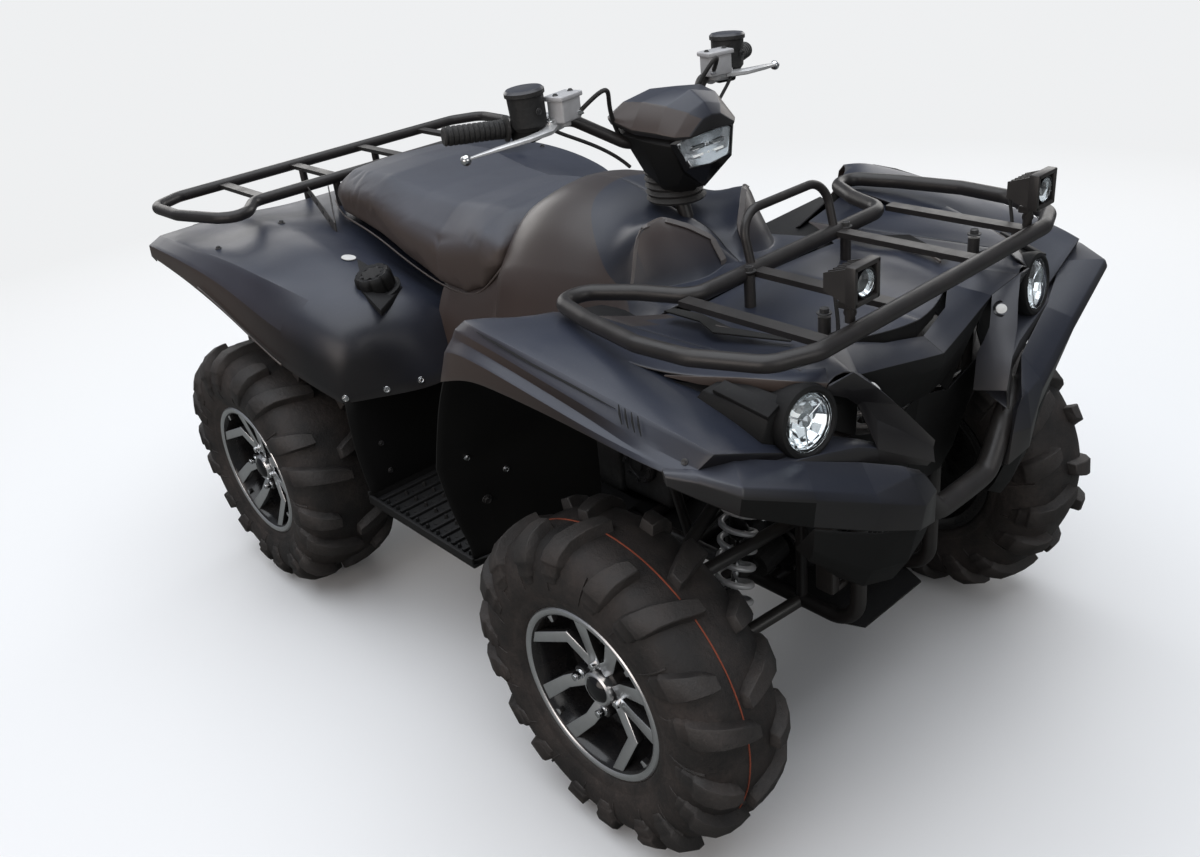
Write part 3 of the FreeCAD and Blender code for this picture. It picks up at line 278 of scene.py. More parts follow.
def castMetalGroup():
    tree, given, made = nodeGroup("wornMetal", {
        "Colour": (0.2, 0.2, 0.2, 1), "Dirt Colour": (0.05, 0.045, 0.04, 1),
        "Edge Colour": (0.4, 0.4, 0.4, 1), "Scale": 40.0, "Depth": 0.2, "Roughness": 0.4,
        "Dirt": 0.3, "Edge Amount": 0.3})
    place = tree.nodes.new("ShaderNodeTexCoord").outputs["Object"]
    patches = noiseNode(tree, place, given["Scale"], 5, 0.65).outputs["Fac"]
    mask = times(tree, rangeNode(tree, patches, 0.42, 0.7), given["Dirt"])
    dirty = mixColour(tree, mask, given["Colour"], given["Dirt Colour"])
    pointed = tree.nodes.new("ShaderNodeNewGeometry").outputs["Pointiness"]
    edge = times(tree, rangeNode(tree, pointed, 0.52, 0.6), given["Edge Amount"])
    tree.links.new(mixColour(tree, edge, dirty, given["Edge Colour"]), made["Colour"])
    rougher = times(tree, mask, 0.35)
    tree.links.new(plus(tree, given["Roughness"], rougher), made["Roughness"])
    fine = noiseNode(tree, place, 420, 3).outputs["Fac"]
    bumpInto(tree, made, plus(tree, fine, patches), 0.0005, given["Depth"])
    return tree


def rubberGroup():
    # dried mud in the low places, darker worn tops
    tree, given, made = nodeGroup("muddyRubber", {
        "Rubber Colour": (0.02, 0.018, 0.017, 1), "Mud Colour": (0.10, 0.078, 0.065, 1),
        "Mud": 0.6, "Scale": 14.0, "Roughness": 0.62})
    place = tree.nodes.new("ShaderNodeTexCoord").outputs["Object"]
    broad = noiseNode(tree, place, given["Scale"], 6, 0.62).outputs["Fac"]
    fine = noiseNode(tree, place, 130, 5, 0.7).outputs["Fac"]
    pointed = tree.nodes.new("ShaderNodeNewGeometry").outputs["Pointiness"]
    low = rangeNode(tree, pointed, 0.53, 0.44)
    patches = rangeNode(tree, plus(tree, broad, times(tree, low, 0.22)), 0.42, 0.72)
    streaks = times(tree, patches, rangeNode(tree, fine, 0.3, 0.65, 0.35, 1.0))
    mask = times(tree, streaks, given["Mud"])
    colour = mixColour(tree, mask, given["Rubber Colour"], given["Mud Colour"])
    rubbed = rangeNode(tree, pointed, 0.53, 0.62, 0.0, 0.35)
    tree.links.new(mixColour(tree, rubbed, colour, (0.085, 0.078, 0.074)), made["Colour"])
    tree.links.new(plus(tree, given["Roughness"], times(tree, mask, 0.25)), made["Roughness"])
    bumpInto(tree, made, plus(tree, fine, broad), 0.003, 0.55)
    return tree


def splitMaterial(name, base, other, way, limit, soft=0.0005, keys=("Top Colour With Painted Sky Sheen", "Side Colour With Painted Shade And Sheen")):
    # two moulded colours parted by a slanting plane, places in metres
    material = base.copy()
    material.name = name
    nodes, links = material.node_tree.nodes, material.node_tree.links
    group = next(node for node in nodes if node.bl_idname == "ShaderNodeGroup")
    donor = next(node for node in other.node_tree.nodes if node.bl_idname == "ShaderNodeGroup")
    across = nodes.new("ShaderNodeVectorMath")
    across.operation = "DOT_PRODUCT"
    across.inputs[1].default_value = way
    links.new(nodes.new("ShaderNodeTexCoord").outputs["Object"], across.inputs[0])
    beyond = rangeNode(material.node_tree, across.outputs["Value"], limit - soft, limit + soft)
    for key in keys:
        pair = (group.inputs[key].default_value[:3], donor.inputs[key].default_value[:3])
        links.new(mixColour(material.node_tree, beyond, *pair), group.inputs[key])
    return material


plastics = {
    # top colour with painted sky sheen, side colour with painted shade and sheen, edge colour, roughness,
    # grain depth, edge amount, dust
    "bodyPlastic": ((0.027, 0.032, 0.049), (0.012, 0.0112, 0.0128), (0.12, 0.115, 0.11),
        0.35, 0.05, 0.55, 0.12),
    "bronzePlastic": ((0.045, 0.037, 0.036), (0.054, 0.037, 0.031), (0.15, 0.13, 0.12),
        0.38, 0.05, 0.6, 0.1),
    "blackPlastic": ((0.007, 0.007, 0.008), (0.005, 0.005, 0.005), (0.03, 0.03, 0.03),
        0.60, 0.35, 0.4, 0.1),
    "seatVinyl": ((0.048, 0.053, 0.070), (0.072, 0.055, 0.048), (0.10, 0.095, 0.09),
        0.50, 0.45, 0.2, 0.1),
    "rimPlastic": ((0.115, 0.108, 0.108), (0.105, 0.090, 0.086), (0.2, 0.19, 0.18),
        0.35, 0.05, 0.3, 0.1),
}
metals = {
    # colour, dirt colour, edge colour, scale, depth, roughness, dirt, edge amount, metallic
    "rackPaint": ((0.020, 0.018, 0.0175), (0.035, 0.030, 0.028), (0.08, 0.075, 0.07),
        22.0, 0.12, 0.36, 0.35, 0.3, 0.0),
    "castAlloy": ((0.065, 0.065, 0.067), (0.03, 0.026, 0.023), (0.2, 0.2, 0.2),
        30.0, 0.4, 0.48, 0.6, 0.3, 0.85),
    "polishedAlloy": ((0.72, 0.73, 0.74), (0.45, 0.45, 0.44), (0.9, 0.9, 0.9),
        18.0, 0.03, 0.12, 0.25, 0.2, 1.0),
    "machinedFace": ((0.80, 0.81, 0.82), (0.45, 0.44, 0.43), (0.9, 0.9, 0.9),
        26.0, 0.04, 0.30, 0.25, 0.2, 1.0),
    "wheelBlack": ((0.012, 0.012, 0.013), (0.05, 0.042, 0.036), (0.05, 0.05, 0.05),
        20.0, 0.05, 0.16, 0.3, 0.2, 0.0),
    # painted highlight: the spring is pale grey so that its coils look lit
    "springPaint": ((0.62, 0.62, 0.63), (0.20, 0.19, 0.18), (0.8, 0.8, 0.8),
        30.0, 0.05, 0.30, 0.2, 0.5, 0.3),
    "satinAlloy": ((0.66, 0.665, 0.67), (0.40, 0.40, 0.39), (0.85, 0.85, 0.85),
        18.0, 0.03, 0.34, 0.2, 0.3, 0.55),
    "greyPaint": ((0.52, 0.52, 0.53), (0.22, 0.21, 0.20), (0.6, 0.6, 0.6),
        30.0, 0.1, 0.35, 0.3, 0.4, 0.0),
}
rubbers = {
    # rubber colour, mud colour, mud, scale, roughness
    "tyreRubber": ((0.013, 0.0115, 0.0110), (0.085, 0.066, 0.058), 0.55, 11.0, 0.58),
    "gripRubber": ((0.012, 0.012, 0.012), (0.03, 0.028, 0.026), 0.3, 30.0, 0.6),
}
plains = {
    # colour, roughness, metallic
    "blackGloss": ((0.008, 0.008, 0.009), 0.14, 0.0),
    "lampGlass": ((0.92, 0.95, 0.97), 0.02, 0.0),
    "lampMirror": ((0.85, 0.87, 0.88), 0.08, 1.0),
    "lampBulb": ((0.95, 0.95, 0.92), 0.25, 0.0),
    "tailRed": ((0.30, 0.006, 0.006), 0.12, 0.0),
    "paleLens": ((0.70, 0.73, 0.76), 0.22, 0.75),
    "sticker": ((0.75, 0.75, 0.73), 0.35, 0.0),
    # painted shade: the near-black finish of holes, slots, vents and recess walls that stand for shade
    "paintedShadeBlack": ((0.004, 0.004, 0.004), 0.8, 0.0),
    "redLine": ((0.30, 0.07, 0.035), 0.7, 0.0),
}
sockets = {
    "plastic": ("Top Colour With Painted Sky Sheen", "Side Colour With Painted Shade And Sheen", "Edge Colour", "Roughness", "Grain Depth", "Edge Amount",
                "Dust"),
    "metal": ("Colour", "Dirt Colour", "Edge Colour", "Scale", "Depth", "Roughness", "Dirt", "Edge Amount"),
    "rubber": ("Rubber Colour", "Mud Colour", "Mud", "Scale", "Roughness"),
}
finish = {label: plainMaterial(label, *row) for label, row in plains.items()}
for kind, group, rows in (("plastic", mouldedPlasticGroup(), plastics), ("metal", castMetalGroup(), metals),
                          ("rubber", rubberGroup(), rubbers)):
    for label, row in rows.items():
        finish[label] = groupMaterial(label, group, dict(zip(sockets[kind], row)))
for label, row in metals.items():
    shaderOf(finish[label]).inputs["Metallic"].default_value = row[-1]
finish["seatVinyl"].node_tree.nodes["Group"].inputs["Grain Scale"].default_value = 620.0
special = [("blackPlastic", "Specular IOR Level", 0.28), ("lampBulb", "Emission Strength", 0.35),
           ("lampGlass", "Transmission Weight", 1.0), ("lampGlass", "IOR", 1.45)]
for label, socket, value in special:
    shaderOf(finish[label]).inputs[socket].default_value = value
# the cowl is bronze behind a line that slants down from the column
finish["splitPlastic"] = splitMaterial("splitPlastic", finish["bodyPlastic"], finish["bronzePlastic"],
                                       (0, 1.0, -1.45), -1.680)
# the shields on its wings fade from bronze above to blue-grey below
finish["shieldPlastic"] = splitMaterial("shieldPlastic", finish["bodyPlastic"], finish["bronzePlastic"],
                                        (0, 0, 1.0), 0.955, 0.045)
# the fenders' side colour, which carries the painted side shade and sheen, is bronze behind and fades
# forward
for label, limit, soft in (("frontSide", -0.60, 0.20), ("rearSide", 0.46, 0.16)):
    finish[label] = splitMaterial(label, finish["bodyPlastic"], finish["bronzePlastic"], (0, 1.0, 0),
                                  limit, soft, ("Side Colour With Painted Shade And Sheen",))
print("finishes ready:", len(finish))


# modelling helpers
def activate(piece):
    deselectAll()
    piece.select_set(True)
    bpy.context.view_layer.objects.active = piece


def startEdit(piece, kind, test):
    # picks by place or normal, then opens edit mode
    activate(piece)
    mesh = piece.data
    bpy.context.tool_settings.mesh_select_mode = (kind == "VERT", kind == "EDGE", kind == "FACE")
    for parts in (mesh.vertices, mesh.edges, mesh.polygons):
        parts.foreach_set("select", [False] * len(parts))
    if kind == "FACE":
        for face in mesh.polygons:
            face.select = bool(test(face.center, face.normal))
    elif kind == "EDGE":
        for edge in mesh.edges:
            first, second = (mesh.vertices[index].co for index in edge.vertices)
            edge.select = bool(test(first, second))
    else:
        for vertex in mesh.vertices:
            vertex.select = bool(test(vertex.co))
    bpy.ops.object.mode_set(mode="EDIT")


def endEdit():
    bpy.ops.object.mode_set(mode="OBJECT")


def everything(*_):
    return True


def modify(piece, *steps):
    activate(piece)
    for kind, values in steps:
        modifier = piece.modifiers.new(kind.lower(), kind)
        for key, value in values.items():
            setattr(modifier, key, value)
        bpy.ops.object.modifier_apply(modifier=modifier.name)


def settle(piece):
    # the place goes into the mesh
    activate(piece)
    bpy.ops.object.transform_apply(location=True, rotation=True, scale=True)


def bevel(piece, width, segments=2, degrees=30):
    modify(piece, ("BEVEL", {"width": width * mm, "segments": segments, "limit_method": "ANGLE",
                             "angle_limit": math.radians(degrees)}))


def faceOut(piece):
    startEdit(piece, "FACE", everything)
    bpy.ops.mesh.normals_make_consistent(inside=False)
    endEdit()


def smooth(piece, degrees=32):
    activate(piece)
    bpy.ops.object.shade_smooth_by_angle(angle=math.radians(degrees))


def dress(piece, *names, angle=0):
    # gives the finish, and smooth faces up to the angle
    if angle:
        smooth(piece, angle)
    piece.data.materials.clear()
    for name in names:
        piece.data.materials.append(finish[name])
    return piece


def copyOf(piece, matrix, name=None):
    twin = piece.copy()
    twin.data = piece.data.copy()
    bpy.context.collection.objects.link(twin)
    twin.data.transform(matrix)
    if matrix.determinant() < 0:
        twin.data.flip_normals()
    if name:
        twin.name = twin.data.name = name
    return twin


def join(pieces, name):
    activate(pieces[0])
    for piece in pieces:
        piece.select_set(True)
    bpy.ops.object.join()
    joined = bpy.context.object
    joined.name = joined.data.name = name
    return joined


mirrorX = Matrix.Diagonal((-1, 1, 1, 1))


def bothSidesOf(piece, name):
    return join([piece, copyOf(piece, mirrorX)], name)


def place(piece, name, body, slot, *replaced):
    piece.name = piece.data.name = name
    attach(piece, body)
    if replaced:
        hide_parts(*replaced)
    return piece


def gridOf(name, rows, flip=False):
    # a grid primitive whose corners are moved to the table's places
    deselectAll()
    bpy.ops.mesh.primitive_grid_add(x_subdivisions=len(rows[0]) - 1, y_subdivisions=len(rows) - 1, size=1)
    piece = bpy.context.object
    piece.name = piece.data.name = name
    places = [Vector(corner) * mm for row in rows for corner in row]
    for vertex, corner in zip(piece.data.vertices, places):
        vertex.co = corner
    if flip:
        piece.data.flip_normals()
    return piece


def crease(piece, columns, sharpColumns=(), sharpRows=(), amount=0.9, fromRow=0):
    # columns is how many corners a row has
    layer = piece.data.attributes.new("crease_edge", "FLOAT", "EDGE")
    for edge in piece.data.edges:
        first, second = sorted(edge.vertices)
        if second - first == columns and first % columns in sharpColumns and first // columns >= fromRow:
            layer.data[edge.index].value = amount
        if second - first == 1 and first // columns in sharpRows:
            layer.data[edge.index].value = amount


def cubeOf(name, place, size, turn=(0, 0, 0), round=0.0, segments=2):
    deselectAll()
    bpy.ops.mesh.primitive_cube_add(size=1, location=Vector(place) * mm, rotation=turn,
                                    scale=Vector(size) * mm)
    piece = bpy.context.object
    piece.name = name
    settle(piece)
    if round:
        bevel(piece, round, segments, 30)
    return piece


def rodBetween(name, start, end, radius, sides=20, endRadius=None, round=0.0):
    start, end = Vector(start) * mm, Vector(end) * mm
    way = end - start
    deselectAll()
    bpy.ops.mesh.primitive_cone_add(vertices=sides, radius1=radius * mm, depth=way.length,
                                    radius2=(radius if endRadius is None else endRadius) * mm,
                                    location=(start + end) / 2,
                                    rotation=way.to_track_quat("Z", "Y").to_euler())
    piece = bpy.context.object
    piece.name = name
    settle(piece)
    if round:
        bevel(piece, round, 2, 50)
    return piece


def hoseThrough(name, points, radius, sides=6, order=4):
    # a NURBS path with a round section, made a mesh
    deselectAll()
    bpy.ops.curve.primitive_nurbs_path_add()
    path = bpy.context.object
    path.name = name
    curve = path.data
    curve.splines.clear()
    spline = curve.splines.new("NURBS")
    spline.points.add(len(points) - 1)
    for point, corner in zip(spline.points, points):
        point.co = (*(Vector(corner) * mm), 1)
    spline.order_u = min(order, len(points))
    spline.use_endpoint_u = True
    spline.resolution_u = 6
    curve.dimensions = "3D"
    curve.bevel_depth = radius * mm
    curve.bevel_resolution = sides
    curve.use_fill_caps = True
    bpy.ops.object.convert(target="MESH")
    return bpy.context.object


def boltAt(place, way, radius=6.0, washer=9.0):
    # hex head on a washer, the head's top hollowed a little
    place, way = Vector(place) * mm, Vector(way).normalized()
    turn = way.to_track_quat("Z", "Y").to_euler()
    deselectAll()
    bpy.ops.mesh.primitive_cylinder_add(vertices=6, radius=radius * mm, depth=radius * mm,
                                        location=place + way * radius * mm * 0.7, rotation=turn)
    head = bpy.context.object
    settle(head)
    startEdit(head, "FACE", lambda middle, normal: normal.dot(way) > 0.9)
    bpy.ops.mesh.inset(thickness=radius * mm * 0.25, depth=-radius * mm * 0.18)
    endEdit()
    modify(head, ("BEVEL", {"width": radius * mm * 0.08, "segments": 1, "limit_method": "ANGLE"}))
    deselectAll()
    bpy.ops.mesh.primitive_cylinder_add(vertices=16, radius=washer * mm, depth=2.4 * mm,
                                        location=place + way * 1.0 * mm, rotation=turn)
    disc = bpy.context.object
    settle(disc)
    modify(disc, ("BEVEL", {"width": 0.5 * mm, "segments": 1, "limit_method": "ANGLE"}))
    return join([head, disc], "bolt")


def spunProfile(name, profile, steps, centre=(0, 0, 0)):
    # profile of (along the axle, radius), spun about the axle
    deselectAll()
    bpy.ops.mesh.primitive_grid_add(x_subdivisions=len(profile) - 1, y_subdivisions=1, size=1)
    piece = bpy.context.object
    piece.name = piece.data.name = name
    count = len(profile)
    for index, vertex in enumerate(piece.data.vertices):
        across, radius = profile[index % count]
        vertex.co = (centre[0] + across * mm, centre[1], centre[2] + radius * mm)
        vertex.select = False
    startEdit(piece, "VERT", lambda corner: False)
    endEdit()
    for vertex in piece.data.vertices:
        vertex.select = vertex.index >= count
    bpy.ops.object.mode_set(mode="EDIT")
    bpy.ops.mesh.delete(type="VERT")
    bpy.ops.mesh.select_all(action="SELECT")
    bpy.ops.mesh.spin(steps=steps, angle=math.tau, center=centre, axis=(1, 0, 0))
    bpy.ops.mesh.select_all(action="SELECT")
    bpy.ops.mesh.remove_doubles(threshold=0.00005)
    bpy.ops.mesh.normals_make_consistent(inside=False)
    endEdit()
    return piece


# wheels
wheels = {
    "front": {"across": 506, "along": -640, "halfWidth": 102.5, "rimHalf": 84},
    "rear": {"across": 492, "along": 613, "halfWidth": 123, "rimHalf": 104},
    "axle": 325, "pitches": 9,
    # share of the half width, radius: crown to bead
    "carcass": [(0, 304), (0.3, 303.5), (0.52, 300), (0.70, 293), (0.84, 280), (0.93, 262), (0.975, 243),
                (0.98, 226), (0.965, 212), (0.93, 199), (0.905, 194), (0.90, 191), (0.895, 186), (0.86, 178),
                (0.84, 174)],
    # along the section from the crown, turn in mm, width, height
    "longLug": [(-4, 0, 27, 20), (14, 7, 35, 21.5), (40, 17, 40, 21.5), (68, 27, 45, 21), (90, 33, 48, 18),
                (104, 36, 49, 15), (107, 37, 46, 9.5), (124, 39, 44, 8), (127, 39, 38, 4.5),
                (140, 40, 30, 3.2)],
    "shortLug": [(40, 2, 30, 20), (56, 8, 39, 21.5), (76, 14, 44, 20.5), (94, 19, 48, 17), (112, 23, 49, 13),
                 (115, 23, 46, 8), (134, 25, 42, 6), (137, 25, 34, 3.6), (150, 26, 26, 2.6)],
    "rib": [(96, 0, 4, 4), (112, 1, 4, 3.2), (130, 3, 3.6, 2.6), (150, 7, 3, 1.8), (162, 10, 2, 1.0)],
    "armWidth": 28, "armDepth": 15,
    # foot turn, kink turn and radius, tip turn; degrees about the axle from straight ahead
    "arms": [(104, 126, 106, 161), (95, 93, 100, 91), (184, 198, 87, 209), (266, 252, 87, 241),
             (346, 324, 106, 289), (355, 357, 100, 359), (80, 60, 87, 62), (10, 30, 87, 28)],
    "stubs": [125, 325, 225, 45],
    # about each stud: depths behind the rim's face, radius, sides, end radius, edge, finish
    "studs": [("pad", 46, 29, 17, 24, 15, 1.2, "wheelBlack"),
              ("nut", 30, 12, 8.6, 6, 7.6, 0.8, "polishedAlloy"),
              ("seat", 30, 26, 11.5, 24, 10, 0.6, "polishedAlloy")],
}


def sectionPoint(half, along):
    # place and outward way on the carcass section, by the length from the crown
    scale = half / 102.5
    corners = [Vector((share * half, radius)) for share, radius in wheels["carcass"]]
    sign = -1 if along < 0 else 1
    left = abs(along) * scale
    for first, second in zip(corners, corners[1:]):
        step = (second - first).length
        if left <= step:
            break
        left -= step
    spot = first + (second - first) * (left / step)
    index = corners.index(first)
    before = corners[index] - corners[max(index - 1, 0)] if index else Vector((1, 0))
    here = (second - first).normalized()
    before = before.normalized() if before.length else here
    share = left / step
    along2 = (before * (1 - share) + here * (1 + share)).normalized()
    normal = Vector((-along2.y, along2.x))
    return Vector((sign * spot.x, spot.y)), Vector((sign * normal.x, normal.y))


def makeLug(stations, half, draft=0.84, fold=1.6):
    # a cube cut along its length, each ring of corners set on the carcass
    deselectAll()
    bpy.ops.mesh.primitive_cube_add(size=2)
    lug = bpy.context.object
    startEdit(lug, "EDGE", lambda first, second: abs(first.x - second.x) > 1)
    bpy.ops.mesh.subdivide(number_cuts=len(stations) - 2)
    endEdit()
    for vertex in lug.data.vertices:
        index = round((vertex.co.x + 1) / 2 * (len(stations) - 1))
        along, turn, width, height = stations[index]
        spot, normal = sectionPoint(half, along)
        top = vertex.co.z > 0
        lift = height if top else -4
        reach = width / 2 * (draft if top else 1.08)
        across, radius = spot + normal * lift
        angle = (turn + vertex.co.y * reach) / radius
        vertex.co = (across * mm, -math.sin(angle) * radius * mm, math.cos(angle) * radius * mm)
    faceOut(lug)
    bevel(lug, fold, 1, 35)
    return lug


def makeTyre(end):
    size = wheels[end]
    half, rimHalf = size["halfWidth"], size["rimHalf"]
    outer = [(share * half, radius) for share, radius in wheels["carcass"]]
    bead = [(rimHalf - 1, 172), (rimHalf - 6, 169), (rimHalf - 7, 155)]
    inside = [(0, 158)]
    side = outer[1:] + bead
    profile = [(-a, r) for a, r in reversed(side)] + [outer[0]] + side + inside
    profile.append(profile[0])
    tyre = spunProfile("tyre", profile, 120)
    lugs = []
    for stations, offset in (("longLug", 0.0), ("shortLug", 0.5)):
        lug = makeLug(wheels[stations], half)
        lugs.append((lug, offset, wheels["pitches"]))
    lugs.append((makeLug(wheels["rib"], half, 0.6, 0.4), 0.27, wheels["pitches"]))
    lugs.append((makeLug(wheels["rib"], half, 0.6, 0.4), 0.77, wheels["pitches"]))
    made = [tyre]
    for lug, offset, count in lugs:
        for side in (1, -1):
            for number in range(count):
                share = (number + offset + (0.25 if side < 0 else 0)) / count
                turn = Matrix.Rotation(math.tau * share, 4, "X")
                flip = Matrix.Diagonal((side, 1, 1, 1))
                made.append(copyOf(lug, turn @ flip))
        bpy.data.objects.remove(lug)
    return dress(join(made, "tyre"), "tyreRubber", angle=38)


def polar(degrees, radius):
    turn = math.radians(degrees)
    return Vector((0, radius * math.cos(turn), radius * math.sin(turn)))


def makeArm(rimHalf, foot, kink, kinkRadius, tip):
    # a cube cut along its length, bent at the kink, with a raised machined face
    width, depth = wheels["armWidth"], wheels["armDepth"]
    stations = [(foot, 40, rimHalf - 30), (kink, kinkRadius, rimHalf - 17), (tip, 154, rimHalf - 4)]
    spots = [polar(turn, radius) + Vector((face, 0, 0)) for turn, radius, face in stations]
    deselectAll()
    bpy.ops.mesh.primitive_cube_add(size=2)
    arm = bpy.context.object
    startEdit(arm, "EDGE", lambda first, second: abs(first.y - second.y) > 1)
    bpy.ops.mesh.subdivide(number_cuts=1)
    endEdit()
    for vertex in arm.data.vertices:
        index = round(vertex.co.y + 1)
        way = spots[min(index + 1, 2)] - spots[max(index - 1, 0)]
        way.x = 0
        aside = Vector((0, -way.z, way.y)).normalized()
        if index == 2:
            aside = Vector((0, -spots[2].z, spots[2].y)).normalized()
        reach = width / 2 * (1.0, 0.92, 1.12)[index]
        sink = 0 if vertex.co.x > 0 else -depth
        vertex.co = (spots[index] + aside * reach * vertex.co.z + Vector((sink, 0, 0))) * mm
    faceOut(arm)
    startEdit(arm, "FACE", lambda middle, normal: normal.x > 0.7)
    bpy.ops.mesh.inset(thickness=1.6 * mm, depth=1.6 * mm)
    endEdit()
    dress(arm, "wheelBlack", "machinedFace")
    for face in arm.data.polygons:
        face.material_index = 1 if face.normal.x > 0.55 else 0
    bevel(arm, 0.7, 1, 30)
    return arm


def makeRim(end):
    rimHalf = wheels[end]["rimHalf"]

    def fromFace(*spots):
        # depth behind the rim's outer face, radius
        return [(rimHalf - depth, radius) for depth, radius in spots]

    inner = [(-rimHalf + 30, 138), (-rimHalf + 6, 146), (-rimHalf, 160), (-rimHalf, 169),
             (-rimHalf + 5, 169), (-rimHalf + 8, 156)]
    shell = fromFace((1, 163), (1, 156), (6, 152), (16, 149), (40, 140)) + inner
    barrel = dress(spunProfile("barrel", shell + fromFace((8, 156), (5, 166), (1, 163)), 96), "wheelBlack")
    lip = dress(spunProfile("lip", fromFace((5, 158), (1, 157), (-1, 159), (-2.5, 163), (-2, 168), (1, 171),
        (5, 171), (5, 158)), 96), "machinedFace")
    web = dress(spunProfile("web", fromFace((34, 0.5), (34, 30), (36, 44), (52, 50), (74, 62), (80, 100),
        (80, 143), (86, 143), (86, 60), (90, 0.5)), 64), "wheelBlack")
    pieces = [barrel, lip, web]
    for arm in wheels["arms"]:
        pieces.append(makeArm(rimHalf, *arm))
    for turn in wheels["stubs"]:
        spot = polar(turn, 150)
        stub = cubeOf("stub", (rimHalf - 10, 0, 150), (12, 13, 17), round=1.2)
        for vertex in stub.data.vertices:
            vertex.co.y *= 1.0 + (vertex.co.z - 0.150) * 45
        dress(stub, "wheelBlack", "machinedFace")
        for face in stub.data.polygons:
            face.material_index = 1 if face.normal.x > 0.8 else 0
        stub.data.transform(Matrix.Rotation(math.atan2(spot.z, spot.y) - math.pi / 2, 4, "X"))
        pieces.append(stub)
    for turn in (0, 90, 180, 270):
        spot = polar(turn, 54)
        for label, deep, front, radius, sides, tipRadius, fold, name in wheels["studs"]:
            foot, tip = ((rimHalf - depth, spot.y, spot.z) for depth in (deep, front))
            pieces.append(dress(rodBetween(label, foot, tip, radius, sides, tipRadius, fold), name))
    ring = dress(spunProfile("capRing", fromFace((36, 34), (20, 33), (17, 30), (18, 26), (36, 26), (36, 34)),
        48), "machinedFace")
    dome = dress(spunProfile("capDome", fromFace((36, 27), (19, 26.5), (13, 21), (10, 12), (9.5, 0.5),
        (36, 0.5), (36, 27)), 48), "blackGloss")
    rim = join(pieces + [ring, dome], "rim")
    smooth(rim, 34)
    return rim


for end in ("front", "rear"):
    size = wheels[end]
    tyreModel, rimModel = makeTyre(end), makeRim(end)
    for sideName, side in (("Left", 1), ("Right", -1)):
        body = "wheel_%s_%s" % (end, sideName.lower())
        seatAt = Matrix.Translation(Vector((side * size["across"], size["along"], wheels["axle"])) * mm)
        # the outer face looks away from the middle; straight ahead is the arms' zero
        turned = seatAt @ (Matrix.Identity(4) if side > 0 else Matrix.Rotation(math.pi, 4, "Z"))
        tyre = copyOf(tyreModel, turned)
        place(tyre, "tyre%s%s" % (end.title(), sideName), body, "tyre_rubber", body.replace("wheel", "tyre"))
        rim = copyOf(rimModel, turned)
        place(rim, "rim%s%s" % (end.title(), sideName), body, "wheel_metal", body.replace("wheel", "rim"))
    bpy.data.objects.remove(tyreModel)
    bpy.data.objects.remove(rimModel)
    print("wheels at the", end)


# body panels
# Tables are in mm in the frame's axes, for the vehicle's left side, with the other side mirrored.
def panel(name, rows, flip=False, sharp=(), sharpRows=(), levels=2, wall=4.0, fold=1.6, degrees=28,
          fromRow=0, pins=()):
    # a grid skin: folded lines stay crisp and get a fine bevel, levels 0 leaves flat facets
    skin = gridOf(name, rows, flip)
    crease(skin, len(rows[0]), sharp, sharpRows, 1.0, fromRow)
    if pins:
        startEdit(skin, "VERT", lambda corner: any((corner / mm - Vector(pin)).length < 1 for pin in pins))
        bpy.ops.transform.vert_crease(value=1.0)
        endEdit()
    if levels:
        modify(skin, ("SUBSURF", {"levels": levels, "boundary_smooth": "PRESERVE_CORNERS"}))
    if wall:
        modify(skin, ("SOLIDIFY", {"thickness": wall * mm, "offset": -1}))
    bevel(skin, fold, 2, 14 if not levels else 22)
    smooth(skin, degrees)
    return skin


def facets(name, rings, round=2.0, segments=2, closeEnds=True):
    # a closed solid through rings of corners, faceted, with softened edges
    count = len(rings[0])
    deselectAll()
    bpy.ops.mesh.primitive_cylinder_add(vertices=count, end_fill_type="NGON" if closeEnds else "NOTHING")
    piece = bpy.context.object
    piece.name = piece.data.name = name
    cuts = len(rings) - 2
    if cuts > 0:
        startEdit(piece, "EDGE", lambda first, second: abs(first.z - second.z) > 1)
        bpy.ops.mesh.subdivide(number_cuts=cuts)
        endEdit()
    for vertex in piece.data.vertices:
        ring = nearest(((vertex.co.z + 1) / 2) * (len(rings) - 1))
        turn = math.atan2(vertex.co.x, vertex.co.y) / math.tau
        corner = nearest(turn * count) % count
        vertex.co = Vector(rings[ring][corner]) * mm
    faceOut(piece)
    if round:
        bevel(piece, round, segments, 12)
    smooth(piece, 35)
    return piece


def nearest(value):
    return int(math.floor(value + 0.5))


def ribbon(name, points, width, up, wall=1.2):
    # a thin strip along points, its breadth across the given way
    up = Vector(up).normalized()
    rows = []
    for index, point in enumerate(points):
        here = Vector(point)
        before, after = Vector(points[max(index - 1, 0)]), Vector(points[min(index + 1, len(points) - 1)])
        aside = (after - before).cross(up).normalized() * width / 2
        taper = 1.0 if 0 < index < len(points) - 1 else 0.25
        rows.append([tuple(here - aside * taper), tuple(here + aside * taper)])
    strip = gridOf(name, rows)
    modify(strip, ("SOLIDIFY", {"thickness": wall * mm, "offset": 0}))
    return strip


def tinted(skin, label, test):
    # a second finish on the faces whose middle, in mm, and way pass the test
    skin.data.materials.append(finish[label])
    slot = len(skin.data.materials) - 1
    for face in skin.data.polygons:
        if test(face.center / mm, face.normal):
            face.material_index = slot


